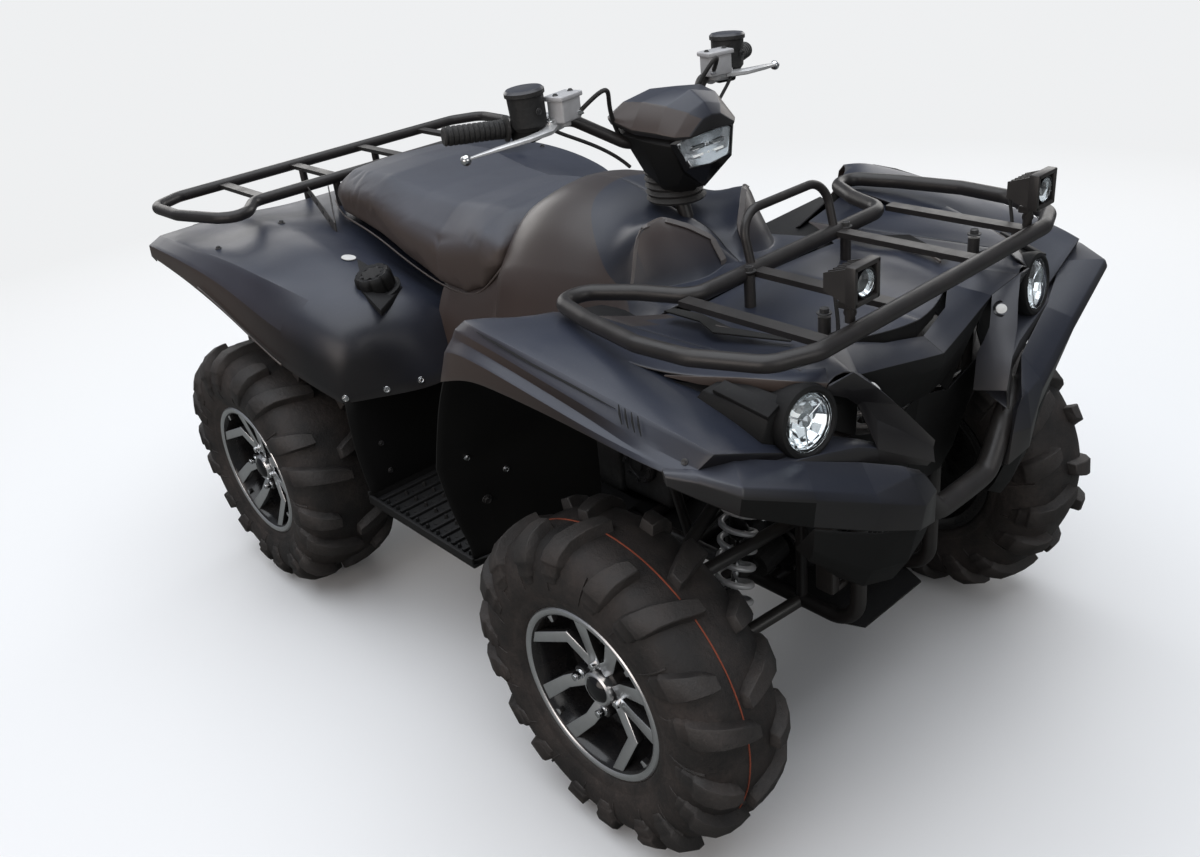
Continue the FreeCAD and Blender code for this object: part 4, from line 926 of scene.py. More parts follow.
fenderTables = {
    # inner hidden, inner edge, crest, band's foot, inset wall's foot, second crease, lip
    "front": [
        [(398, -395, 893), (478, -398, 943), (526, -352, 940), (536, -332, 922),
         (541, -326, 906), (552, -312, 880), (566, -304, 826)],
        [(398, -425, 938), (478, -425, 946), (544, -392, 947), (554, -386, 931),
         (557, -384, 918), (571, -378, 903), (573, -399, 862)],
        [(398, -500, 930), (470, -500, 945), (545, -480, 940), (558, -475, 925),
         (559, -470, 910), (575, -465, 900), (576, -474, 866)],
        [(398, -600, 915), (465, -600, 935), (543, -600, 927), (562, -605, 908),
         (562, -600, 893), (577, -590, 886), (578, -590, 866)],
        [(385, -700, 890), (452, -700, 918), (540, -700, 912), (560, -710, 892),
         (562, -706, 876), (576, -706, 870), (579, -715, 860)],
        [(360, -790, 855), (405, -790, 885), (532, -800, 892), (554, -792, 872),
         (566, -792, 860), (570, -794, 858), (575, -800, 850)],
        [(335, -860, 815), (375, -860, 845), (524, -862, 881), (546, -852, 856),
         (558, -858, 850), (560, -860, 848), (566, -866, 842)],
        [(322, -912, 775), (352, -914, 800), (517, -905, 868), (536, -892, 848),
         (544, -893, 843), (546, -894, 841), (552, -896, 837)],
        [(345, -908, 768), (370, -910, 778), (508, -897, 842), (530, -888, 838),
         (540, -888, 836), (542, -888, 835), (548, -890, 832)],
    ],
    # middle, under the seat, valley, fold, crest, side fold, lip; front to rear
    "rear": [
        [(0, 205, 700), (180, 190, 690), (256, 118, 600), (345, 122, 598), (435, 180, 596),
         (478, 208, 594), (500, 230, 592)],
        [(0, 212, 715), (180, 205, 712), (250, 168, 705), (330, 164, 715), (448, 192, 712),
         (494, 212, 664), (505, 236, 594)],
        [(0, 218, 725), (180, 218, 725), (240, 214, 768), (320, 208, 788), (462, 215, 776),
         (513, 230, 692), (508, 242, 597)],
        [(0, 330, 730), (180, 330, 730), (243, 326, 812), (348, 330, 824), (490, 330, 820),
         (545, 330, 735), (541, 330, 640)],
        [(0, 463, 775), (180, 463, 775), (245, 468, 845), (372, 440, 868), (515, 470, 848),
         (560, 470, 790), (557, 440, 675)],
        [(0, 593, 845), (180, 593, 845), (247, 600, 860), (350, 603, 884), (528, 603, 864),
         (568, 600, 828), (566, 560, 735)],
        [(0, 763, 855), (180, 763, 855), (248, 763, 864), (360, 773, 885), (540, 780, 868),
         (573, 775, 844), (572, 760, 792)],
        [(0, 943, 850), (180, 943, 850), (250, 948, 856), (382, 955, 868), (536, 968, 862),
         (569, 972, 845), (570, 975, 815)],
        [(0, 1005, 795), (180, 1005, 795), (250, 1010, 800), (380, 1016, 806), (522, 1018, 812),
         (550, 1018, 800), (548, 1018, 786)],
    ],
}


def makeFrontFender():
    skin = dress(panel("frontFender", fenderTables["front"], flip=True, sharp=(2, 3, 4, 5), sharpRows=(7,),
        wall=3.2), "frontSide")
    # a slot and four dashes of painted shade along the band's inset
    slot = dress(ribbon("slot", [(548, -415, 942), (552, -470, 938), (552, -560, 925), (549, -660, 912),
        (548, -742, 902)], 3.4, (0.7, 0, 0.7), 2.0), "paintedShadeBlack")
    marks = [slot]
    for number in range(4):
        y = -752 - number * 13
        z = 900 - number * 2.2
        marks.append(dress(ribbon("dash", [(541, y + 9, z + 6), (549, y, z - 2), (556, y - 11, z - 14)], 3.0,
            (0.8, 0, 0.6), 1.6), "paintedShadeBlack"))
    return bothSidesOf(join([skin] + marks, "frontFender"), "frontFenders")


place(makeFrontFender(), "frontFenders", "chassis", "body_plastic", "front_fenders")


def makeRearFender():
    skin = dress(panel("rearFender", fenderTables["rear"], sharp=(3, 4, 5), sharpRows=(7,), wall=3.2,
        fromRow=3), "rearSide")
    line = dress(hoseThrough("trim", [(556, 380, 668), (564, 470, 700), (571, 580, 760), (576, 700, 792)],
        2.2, 2), "bronzePlastic")
    return bothSidesOf(join([skin, line], "rearFender"), "rearFender")


place(makeRearFender(), "rearFender", "chassis", "body_plastic", "rear_fender")
print("fenders made")

nose = {
    # middle to the fender, rear to front
    "deck": {"flip": True, "sharp": (2,), "levels": 2, "finish": "bodyPlastic", "rows": [
        [(0, -572, 903), (115, -572, 901), (205, -566, 893), (260, -500, 888), (300, -430, 887)],
        [(0, -660, 905), (115, -660, 900), (205, -660, 891), (262, -640, 890), (305, -620, 893)],
        [(0, -800, 893), (115, -800, 890), (205, -800, 888), (262, -790, 897), (310, -780, 901)],
        [(0, -892, 883), (60, -886, 884), (150, -850, 889), (240, -872, 903), (300, -885, 906)],
    ]},
    "hoodSide": {"flip": True, "levels": 2, "finish": "bodyPlastic", "rows": [
        [(300, -430, 887), (350, -430, 897), (400, -430, 906), (466, -430, 936)],
        [(305, -620, 893), (360, -615, 903), (415, -610, 910), (460, -605, 926)],
        [(308, -710, 898), (350, -715, 904), (395, -722, 905), (431, -727, 905)],
        [(310, -780, 901), (330, -798, 904), (350, -812, 905), (371, -826, 905)],
        [(300, -885, 906), (312, -882, 905), (325, -880, 904), (340, -876, 902)],
        [(272, -908, 907), (277, -915, 902), (281, -920, 896), (286, -923, 889)],
    ]},
    # the pale strip under the hood's outer edge
    "strip": {"flip": True, "finish": "bronzePlastic", "rows": [
        [(430, -727, 905), (432, -728, 904)],
        [(401, -778, 905), (404, -774, 892)],
        [(371, -826, 905), (364, -838, 884)],
        [(340, -876, 902), (335, -884, 883)],
        [(286, -923, 889), (286, -917, 870)],
    ]},
    "plate": {"flip": True, "finish": "bodyPlastic", "rows": [
        [(0, -900, 855), (45, -892, 864), (88, -885, 872), (118, -868, 880), (150, -850, 888),
         (210, -860, 899)],
        [(0, -940, 834), (48, -933, 841), (97, -926, 849), (145, -918, 856), (193, -911, 863),
         (240, -933, 893)],
    ]},
    # the notch's wall is a sheet of painted shade
    "notchWall": {"flip": True, "finish": "paintedShadeBlack", "rows": [
        [(0, -884, 881), (60, -878, 882), (100, -862, 884), (148, -846, 885)],
        [(0, -888, 850), (60, -880, 860), (100, -866, 868), (146, -846, 880)],
    ]},
    "front": {"flip": True, "finish": "blackPlastic", "rows": [
        [(0, -940, 834), (48, -933, 841), (97, -926, 849), (145, -918, 856), (193, -911, 863)],
        [(0, -938, 808), (48, -931, 812), (93, -922, 818), (135, -915, 822), (172, -908, 838)],
        [(0, -915, 752), (46, -910, 754), (80, -905, 762), (112, -905, 772), (140, -900, 790)],
        [(0, -900, 742), (44, -896, 742), (70, -893, 735), (86, -893, 720), (98, -893, 712)],
    ]},
    # inner foot, ridge, outer fold, low edge: from the top down to the tip
    "blade": {"finish": "bodyPlastic", "rows": [
        [(193, -911, 863), (240, -933, 893), (286, -925, 888), (286, -914, 872)],
        [(174, -922, 842), (205, -951, 857), (238, -928, 862), (236, -918, 846)],
        [(158, -930, 820), (177, -968, 822), (203, -926, 828), (202, -916, 818)],
        [(148, -928, 800), (162, -974, 804), (190, -944, 795), (200, -952, 749)],
        [(132, -925, 778), (144, -981, 781), (166, -960, 776), (172, -968, 733)],
        [(105, -938, 722), (108, -994, 737), (112, -995, 727), (112, -999, 701)],
    ]},
    "shelf": {"flip": True, "finish": "bodyPlastic", "rows": [
        [(440, -880, 812), (420, -922, 806), (420, -925, 786)],
        [(345, -890, 800), (336, -932, 791), (336, -935, 770)],
        [(300, -895, 795), (290, -938, 780), (288, -940, 757)],
        [(245, -900, 775), (240, -945, 768), (238, -948, 742)],
        [(200, -915, 755), (200, -953, 750), (198, -955, 725)],
        [(125, -950, 715), (113, -997, 703), (116, -990, 692)],
    ]},
    # joins the hood's corner to the blade
    "corner": {"flip": True, "finish": "bodyPlastic", "rows": [
        [(208, -860, 899), (240, -870, 903), (272, -878, 905), (302, -882, 906)],
        [(239, -933, 893), (252, -928, 897), (268, -924, 896), (286, -923, 889)],
    ]},
    # black sheets of painted shade that close the view below the hood and behind the emblem's place
    "underlay": {"flip": True, "finish": "blackPlastic", "rows": [
        [(0, -440, 866), (150, -400, 866), (290, -310, 862), (470, -330, 880)],
        [(0, -560, 868), (150, -560, 868), (290, -440, 862), (420, -440, 870)],
        [(0, -700, 866), (150, -700, 866), (290, -700, 862), (400, -700, 862)],
        [(0, -865, 848), (120, -850, 850), (230, -850, 850), (330, -830, 850)],
    ]},
    "inner": {"flip": True, "finish": "blackPlastic", "rows": [
        [(0, -898, 744), (98, -893, 714), (190, -900, 750), (300, -880, 780)],
        [(0, -884, 640), (110, -884, 640), (200, -880, 660), (300, -860, 690)],
        [(0, -876, 540), (110, -876, 540), (160, -870, 560), (200, -860, 600)],
    ]},
    "behindPlate": {"flip": True, "finish": "blackPlastic", "rows": [
        [(90, -846, 874), (200, -835, 884), (285, -862, 892)],
        [(90, -880, 846), (200, -880, 846), (285, -895, 862)],
    ]},
    # the black bay behind each headlamp
    "bay": {"flip": True, "finish": "blackPlastic", "rows": [
        [(425, -735, 896), (440, -760, 880), (450, -780, 855)],
        [(360, -820, 882), (395, -800, 860), (420, -800, 835)],
        [(300, -850, 876), (310, -840, 830), (330, -850, 795)],
        [(225, -880, 860), (215, -880, 810), (230, -890, 775)],
        [(182, -900, 846), (176, -898, 800), (190, -905, 752)],
    ]},
}


def makeNose():
    parts = []
    for name, data in nose.items():
        skin = dress(panel(name, data["rows"], flip=data.get("flip", False), sharp=data.get("sharp", ()),
            levels=data.get("levels", 0), wall=3.0), data["finish"])
        parts.append(skin)
        if name == "deck":
            tinted(skin, "bronzePlastic", lambda middle, way: middle.y > -545 and middle.x > 205)
    return bothSidesOf(join(parts, "nose"), "nose")


place(makeNose(), "nosePanel", "chassis", "body_plastic", "nose_panel")

# rings of five corners from the outer end to the inner one: back top, crease, front, foot, back foot
covers = [
    [(566, -848, 848), (572, -858, 848), (574, -864, 842), (572, -862, 826), (562, -848, 824)],
    [(522, -862, 849), (548, -898, 848), (553, -905, 838), (548, -898, 806), (516, -868, 800)],
    [(470, -896, 838), (520, -958, 836), (524, -962, 822), (512, -945, 778), (455, -890, 770)],
    [(355, -930, 792), (382, -970, 768), (383, -976, 752), (368, -958, 690), (335, -900, 690)],
    [(240, -950, 744), (249, -984, 702), (246, -994, 686), (246, -985, 630), (238, -930, 630)],
    [(180, -985, 722), (178, -1000, 706), (162, -1020, 650), (170, -1016, 605), (185, -950, 605)],
    [(158, -1000, 708), (140, -1002, 694), (116, -1010, 655), (114, -1008, 590), (130, -950, 590)],
]
# the lower black body of the cover
chins = [
    [(368, -958, 690), (368, -960, 686), (360, -950, 640), (345, -930, 604), (330, -890, 604)],
    [(300, -972, 655), (300, -974, 650), (292, -964, 585), (280, -945, 552), (285, -900, 552)],
    [(246, -985, 630), (246, -986, 626), (240, -975, 548), (228, -950, 498), (235, -900, 498)],
    [(170, -1010, 605), (168, -1008, 600), (162, -990, 530), (172, -968, 490), (185, -915, 490)],
    [(116, -1000, 590), (114, -998, 586), (112, -985, 548), (128, -965, 516), (140, -925, 516)],
]


def closedRings(rings):
    rows = [[ring[index] for ring in rings] for index in (0, 1, 2, 3, 4, 0)]
    skin = panel("cover", rows, flip=True, levels=0, wall=0, fold=0.01)
    startEdit(skin, "VERT", everything)
    bpy.ops.mesh.remove_doubles(threshold=0.0002)
    bpy.ops.mesh.select_all(action="DESELECT")
    bpy.ops.mesh.select_non_manifold()
    bpy.ops.mesh.edge_face_add()
    bpy.ops.mesh.select_all(action="SELECT")
    bpy.ops.mesh.normals_make_consistent(inside=False)
    endEdit()
    bevel(skin, 2.6, 2, 9)
    smooth(skin, 28)
    return skin


def makeCover():
    chin = dress(closedRings(chins), "blackPlastic")
    skin = dress(closedRings(covers), "bodyPlastic")
    tinted(skin, "blackPlastic", lambda middle, way: way.z < -0.35)
    return bothSidesOf(join([skin, chin], "bumperCovers"), "bumperCovers")


place(makeCover(), "bumperCovers", "chassis", "body_plastic", "bumper_covers")

# the bar between the covers
barPoints = [(235, -868, 690), (232, -915, 690), (222, -945, 688), (185, -966, 680), (150, -974, 668),
             (100, -984, 612), (82, -986, 594), (66, -986, 587), (0, -986, 586)]
bar = dress(hoseThrough("bar", barPoints + [(-x, y, z) for x, y, z in reversed(barPoints[:-1])], 20, 6, 3),
    "rackPaint", angle=60)
place(bar, "bumperBar", "chassis", "black_metal", "bumper_bar")
print("nose made")

cowl = {
    # middle, valley, wing's inner edge, crest, wing's outer edge, side, lower edge; front to rear
    "rows": [
        [(0, -562, 910), (40, -562, 909), (80, -562, 908), (120, -558, 907), (160, -552, 907),
         (215, -535, 897), (235, -509, 878)],
        [(0, -505, 907), (34, -497, 911), (75, -500, 904), (110, -497, 903), (165, -450, 897),
         (198, -410, 887), (252, -420, 820)],
        [(0, -468, 930), (39, -471, 963), (75, -447, 991), (112, -421, 1011), (154, -399, 1003),
         (192, -381, 907), (264, -400, 785)],
        [(0, -435, 965), (41, -428, 972), (80, -406, 996), (115, -382, 1008), (158, -366, 988),
         (202, -355, 905), (276, -360, 760)],
        [(0, -330, 987), (50, -330, 989), (90, -325, 989), (125, -320, 980), (167, -320, 955),
         (218, -320, 893), (286, -320, 735)],
        [(0, -215, 1030), (50, -215, 1027), (95, -215, 1017), (132, -215, 1001), (180, -215, 963),
         (236, -215, 890), (290, -215, 717)],
        [(0, -100, 1029), (50, -100, 1025), (95, -100, 1013), (132, -100, 995), (180, -100, 957),
         (230, -100, 875), (278, -100, 690)],
        [(0, -28, 988), (50, -28, 984), (90, -28, 975), (128, -28, 961), (170, -28, 923),
         (220, -28, 853), (262, -28, 685)],
    ],
}


def plateOf(name, corners, wall=2.0, round=0.8):
    # a flat plate through corners listed in turn
    deselectAll()
    bpy.ops.mesh.primitive_circle_add(vertices=len(corners), fill_type="NGON")
    plate = bpy.context.object
    plate.name = plate.data.name = name
    for vertex, corner in zip(plate.data.vertices, corners):
        vertex.co = Vector(corner) * mm
    modify(plate, ("SOLIDIFY", {"thickness": wall * mm, "offset": 0}),
           ("BEVEL", {"width": round * mm, "segments": 2, "limit_method": "ANGLE",
                      "angle_limit": math.radians(40)}))
    faceOut(plate)
    return plate


def trimOn(name, points, width, skin, lift=3.0, steps=6):
    # a thin strip laid on a skin along points
    rows = []
    for start, end in zip(points, points[1:]):
        start, end = Vector(start), Vector(end)
        for number in range(steps):
            spot = start.lerp(end, number / steps)
            aside = (end - start).cross(Vector((0, -1, 0.4))).normalized() * width / 2
            rows.append([tuple(spot - aside), tuple(spot + aside)])
    strip = gridOf(name, rows)
    modify(strip, ("SHRINKWRAP", {"target": skin, "offset": lift * mm}),
           ("SOLIDIFY", {"thickness": 2.4 * mm, "offset": 0}),
           ("BEVEL", {"width": 0.6 * mm, "segments": 1, "limit_method": "ANGLE",
                      "angle_limit": math.radians(40)}))
    return strip


shield = {
    "rim": [(34, -497, 911), (39, -471, 963), (75, -447, 991), (112, -421, 1011), (154, -399, 1003),
            (198, -410, 887)],
}


def makeCowl():
    skin = dress(panel("cowl", cowl["rows"], sharp=(5,), sharpRows=(1, 2), fold=2.5, pins=shield["rim"][:4]),
        "splitPlastic")
    tinted(skin, "shieldPlastic",
           lambda middle, way: way.y < -0.5 and middle.z > 908 and 36 < middle.x < 176)
    rim = dress(trimOn("rim", shield["rim"], 14, skin), "rimPlastic")
    return bothSidesOf(join([skin, rim], "cowl"), "tankCowl")


place(makeCowl(), "tankCowl", "chassis", "body_plastic", "tank_cowl")

walls = {
    "mud": [
        [(306, -402, 868), (398, -396, 889), (484, -384, 912), (546, -338, 882)],
        [(332, -340, 835), (398, -350, 845), (480, -318, 842), (562, -303, 828)],
        [(290, -330, 720), (400, -300, 720), (500, -282, 720), (566, -262, 720)],
        [(244, -320, 615), (400, -255, 615), (500, -235, 615), (560, -220, 615)],
        [(232, -305, 480), (400, -235, 480), (490, -205, 480), (530, -195, 480)],
        [(230, -295, 381), (400, -220, 381), (460, -190, 380), (490, -178, 379)],
        [(230, -290, 344), (400, -210, 344), (460, -178, 344), (490, -170, 344)],
    ],
    "guard": [
        [(230, 213, 655), (400, 213, 635), (502, 225, 595)],
        [(230, 213, 475), (400, 217, 475), (508, 221, 475)],
        [(230, 227, 351.5), (400, 227, 351.5), (488, 227, 351.5)],
    ],
    "side": [
        [(200, -30, 862), (246, -28, 757), (263, -28, 681), (262, -28, 555)],
        [(206, 60, 802), (250, 60, 745), (276, 60, 655), (256, 60, 555)],
        [(206, 200, 790), (246, 198, 725), (252, 198, 635), (240, 198, 555)],
    ],
}
mud = dress(panel("mud", walls["mud"], flip=True, sharpRows=(3,), sharp=(2,)), "blackPlastic")
place(bothSidesOf(mud, "mudPanels"), "mudPanels", "chassis", "black_plastic", "mud_panels")
guard = dress(panel("guard", walls["guard"]), "blackPlastic")
place(bothSidesOf(guard, "rearGuards"), "rearGuards", "chassis", "black_plastic", "rear_guards")
sideSkin = dress(panel("side", walls["side"], sharp=(2,)), "bronzePlastic")
place(bothSidesOf(sideSkin, "sideCovers"), "sideCovers", "chassis", "body_plastic", "side_covers")
print("cowl and walls made")


# seat
seat = {
    # middle top, top edge, side, lower edge, middle below; front to rear
    "rings": [
        (-22, [(0, 943), (118, 935), (196, 903), (203, 860), (0, 886)]),
        (35, [(0, 958), (125, 952), (207, 912), (215, 800), (0, 876)]),
        (100, [(0, 956), (128, 951), (210, 905), (217, 776), (0, 870)]),
        (205, [(0, 943), (128, 941), (208, 900), (214, 778), (0, 866)]),
        (323, [(0, 950), (138, 948), (208, 912), (214, 806), (0, 866)]),
        (463, [(0, 975), (146, 972), (202, 932), (208, 846), (0, 870)]),
        (560, [(0, 975), (150, 970), (198, 930), (204, 862), (0, 870)]),
        (643, [(0, 968), (146, 963), (190, 922), (196, 868), (0, 870)]),
        (745, [(0, 940), (108, 932), (146, 912), (150, 876), (0, 876)]),
    ],
    "voxel": 5, "pressure": 4, "cap": 9,
}


def seatBlank():
    rings = []
    for behind, half in seat["rings"]:
        side = [(across, behind, above) for across, above in half]
        rings.append(side + [(-x, y, z) for x, y, z in reversed(side) if x > 0])
    blank = facets("seat", rings, 0)
    bevel(blank, 14, 3, 25)
    return blank


def puff(pad, voxel, pressure, cap):
    # the cover swells over its foam, held near its starting place
    modify(pad, ("REMESH", {"mode": "VOXEL", "voxel_size": voxel * mm}))
    before = [corner.co.copy() for corner in pad.data.vertices]
    activate(pad)
    cloth = pad.modifiers.new("cloth", "CLOTH")
    cloth.settings.use_pressure = True
    cloth.settings.uniform_pressure_force = pressure
    cloth.settings.effector_weights.gravity = 0
    cloth.settings.tension_stiffness = 30
    cloth.settings.compression_stiffness = 30
    for number in range(1, 21):
        bpy.context.scene.frame_set(number)
    bpy.ops.object.modifier_apply(modifier="cloth")
    bpy.context.scene.frame_set(1)
    for corner, start in zip(pad.data.vertices, before):
        move = corner.co - start
        if move.length > cap * mm:
            corner.co = start + move.normalized() * cap * mm
    modify(pad, ("SMOOTH", {"factor": 0.5, "iterations": 6}))


def makeSeat():
    pad = seatBlank()
    puff(pad, seat["voxel"], seat["pressure"], seat["cap"])
    modify(pad, ("SUBSURF", {"levels": 1}))
    smooth(pad, 60)
    dress(pad, "seatVinyl")
    return pad


place(makeSeat(), "seat", "chassis", "seat_cover", "seat")
print("seat made")

# pod and its lens; places from the head of the column
headOfColumn = Vector((0, -325, 1119.5))


def fromHead(across, behind, above):
    return tuple(headOfColumn + Vector((across, behind, above)))


pod = {
    # behind, then across and above: top middle, ridge, tip, under the tip, middle below; rear to front
    "hood": [
        (60, [(0, 66), (48, 63), (84, 54), (80, 46), (0, 44)]),
        (28, [(0, 90), (70, 81), (112, 59), (104, 46), (0, 44)]),
        (-30, [(0, 98), (78, 87), (110, 44), (102, 33), (0, 36)]),
        (-78, [(0, 97), (66, 80), (94, 38), (86, 27), (0, 30)]),
        (-110, [(0, 78), (42, 67), (82, 32), (76, 24), (0, 30)]),
        (-128, [(0, 57), (22, 54), (60, 31), (56, 26), (0, 30)]),
    ],
    # black lower part, tapering to the column
    "housing": [
        (44, [(0, 50), (58, 48), (82, 30), (44, -14), (0, -24)]),
        (8, [(0, 50), (70, 46), (98, 28), (50, -52), (0, -76)]),
        (-40, [(0, 46), (72, 38), (96, 22), (52, -78), (0, -118)]),
        (-80, [(0, 40), (66, 34), (86, 16), (50, -66), (0, -84)]),
        (-100, [(0, 36), (62, 28), (80, 14), (54, -42), (0, -78)]),
    ],
    # the frame round the lens, outer corners then inner ones; front view from the middle
    "bezelOuter": [(0, -118, 34), (62, -108, 30), (84, -100, 20), (62, -112, -34), (0, -98, -78)],
    "bezelInner": [(0, -121, 26), (56, -113, 24), (73, -106, 17), (54, -117, -28), (0, -117, -33)],
    "lens": [(0, -124, 25), (54, -115, 23), (71, -108, 16), (52, -119, -27), (0, -121, -32)],
}


def halfRings(table):
    rings = []
    for behind, half in table:
        side = [fromHead(across, behind, above) for across, above in half]
        rings.append(side + [(-x, y, z) for x, y, z in reversed(side) if x > 0])
    return rings


def ringAround(half):
    side = [fromHead(*corner) for corner in half]
    return side + [(-x, y, z) for x, y, z in reversed(side) if x > 0]


def loopBetween(name, outer, inner, depth=4.0, round=1.2):
    # a flat frame between two rings of corners
    rows = [outer + outer[:1], inner + inner[:1]]
    band = gridOf(name, rows)
    startEdit(band, "VERT", everything)
    bpy.ops.mesh.remove_doubles(threshold=0.0001)
    endEdit()
    modify(band, ("SOLIDIFY", {"thickness": depth * mm, "offset": 0}),
           ("BEVEL", {"width": round * mm, "segments": 2, "limit_method": "ANGLE",
                      "angle_limit": math.radians(25)}))
    return band


hood = dress(facets("pod", halfRings(pod["hood"]), 2.2, 2), "bodyPlastic")
tinted(hood, "bronzePlastic", lambda middle, way: abs(way.x) > 0.35 and way.z > 0.1)
housing = dress(facets("housing", halfRings(pod["housing"]), 2.0, 2), "blackPlastic")
bezel = dress(loopBetween("bezel", ringAround(pod["bezelOuter"]), ringAround(pod["bezelInner"]), 5.0),
    "blackGloss")
# a bellows between the pod and the cowl
boot = []
for number in range(5):
    fold = []
    for radius, rise in ((54 - number * 2, 0), (58 - number * 2, 5), (51 - number * 2, 12)):
        middle = Vector((0, -349 + number * 4, 1008 + number * 12 + rise))
        turns = [turn * math.tau / 24 for turn in range(24)]
        fold.append([tuple(middle + Vector((math.sin(t), math.cos(t), 0)) * radius) for t in turns])
    boot.append(dress(facets("boot", fold, 0), "gripRubber"))
place(join([hood, housing, bezel] + boot, "pod"), "pod", "steering", "body_plastic", "pod")


def makePodLens():
    inner, outer = ringAround(pod["bezelInner"]), ringAround(pod["lens"])
    back = [(x * 0.86, y + 14, z) for x, y, z in inner]
    glass = dress(facets("glass", [outer, [(x, y + 5, z) for x, y, z in inner]], 1.4, 2), "lampGlass")
    mirror = dress(facets("mirror", [[(x * 0.97, y + 7, z) for x, y, z in inner], back], 0), "paleLens")
    parts = [glass, mirror]
    for across, wide in ((-27, 34), (27, 34), (0, 12)):
        step = dress(cubeOf("step", fromHead(across, -111, 3), (wide, 5, 9), round=2), "polishedAlloy")
        bulb = dress(cubeOf("bulb", fromHead(across, -112, -12), (wide - 8, 4, 4), round=1.5), "lampBulb")
        parts += [step, bulb]
    return join(parts, "podLens")


place(makePodLens(), "podLens", "steering", "lamp_glass", "pod_lens")
print("pod made")


# controls on the bar
def turnedPart(name, profile, place, way, steps=40):
    # profile of (along the way, radius) in mm, spun about the way from its place
    piece = spunProfile(name, profile, steps)
    turn = Vector((1, 0, 0)).rotation_difference(Vector(way).normalized()).to_matrix().to_4x4()
    piece.data.transform(Matrix.Translation(Vector(place) * mm) @ turn)
    return piece


controls = {
    "gripOuter": (400, 138, 82), "gripInner": (289, 98.6, 75.2), "gripRadius": 17, "gripRings": 11,
    "drum": (262, 66, 72), "drumRadius": 35, "drumHeight": 72,
    "lever": [(232, 44, 70), (262, 18, 71), (312, 12, 70), (362, 34, 63), (404, 62, 54)],
    "leverWidths": [25, 23, 19, 15, 9],
    "ball": (409, 65, 52), "tank": (200, 41, 100), "tankSize": (62, 42, 52),
}


def makeGrip():
    outer, inner = (Vector(fromHead(*controls[key])) for key in ("gripOuter", "gripInner"))
    length = (outer - inner).length
    radius = controls["gripRadius"]
    profile = [(0, 10), (0, radius + 6), (4, radius + 6), (6, radius)]
    step = (length - 14) / controls["gripRings"]
    for number in range(controls["gripRings"]):
        start = 7 + number * step
        profile += [(start, radius - 1.6), (start + step * 0.2, radius), (start + step * 0.75, radius),
                    (start + step * 0.95, radius - 1.6)]
    profile += [(length - 3, radius), (length, radius - 3), (length, 10)]
    return dress(turnedPart("grip", profile + profile[:1], inner, outer - inner, 28), "gripRubber", angle=40)


place(bothSidesOf(makeGrip(), "grips"), "gripPair", "steering", "grip_rubber", "grips")


def makeDrum():
    x, behind, above = controls["drum"]
    radius, height = controls["drumRadius"], controls["drumHeight"]
    foot = fromHead(x, behind, above)
    body = turnedPart("drum", [(0, 0.5), (0, radius - 9), (8, radius - 3), (height - 14, radius - 2),
                               (height - 12, radius + 1), (height - 5, radius + 1), (height - 1, radius - 3),
                               (height, radius - 9), (height + 1, 0.5), (0, 0.5)], foot, (0.05, 0.02, 1), 48)
    smooth(body, 35)
    dress(body, "gripRubber", "bodyPlastic")
    for face in body.data.polygons:
        face.material_index = 1 if face.normal.z > 0.5 and face.center.z > (foot[2] + height - 8) * mm else 0
    block = dress(cubeOf("block", fromHead(x - 4, behind + 14, above - 2), (44, 50, 42), (0, 0, -0.34), 7,
        3), "blackPlastic", angle=40)
    key = dress(rodBetween("key", fromHead(x - 30, behind - 2, above + 8), fromHead(x - 42, behind - 6,
        above + 6), 6, 16, 5, 1), "polishedAlloy")
    screw = dress(boltAt(fromHead(x + 4, behind - radius + 1, above + 34), (0.1, -1, 0), 4.2, 6),
        "castAlloy")
    stem = dress(hoseThrough("stem", [fromHead(x - 20, behind - 28, above + 2), fromHead(x - 26, behind - 36,
        above - 16), fromHead(150, 10, 30), fromHead(96, -4, -30)], 3.4, 3), "gripRubber")
    return join([body, block, key, screw, stem], "switches")


place(bothSidesOf(makeDrum(), "switches"), "switchHousings", "steering", "black_plastic", "switch_housings")


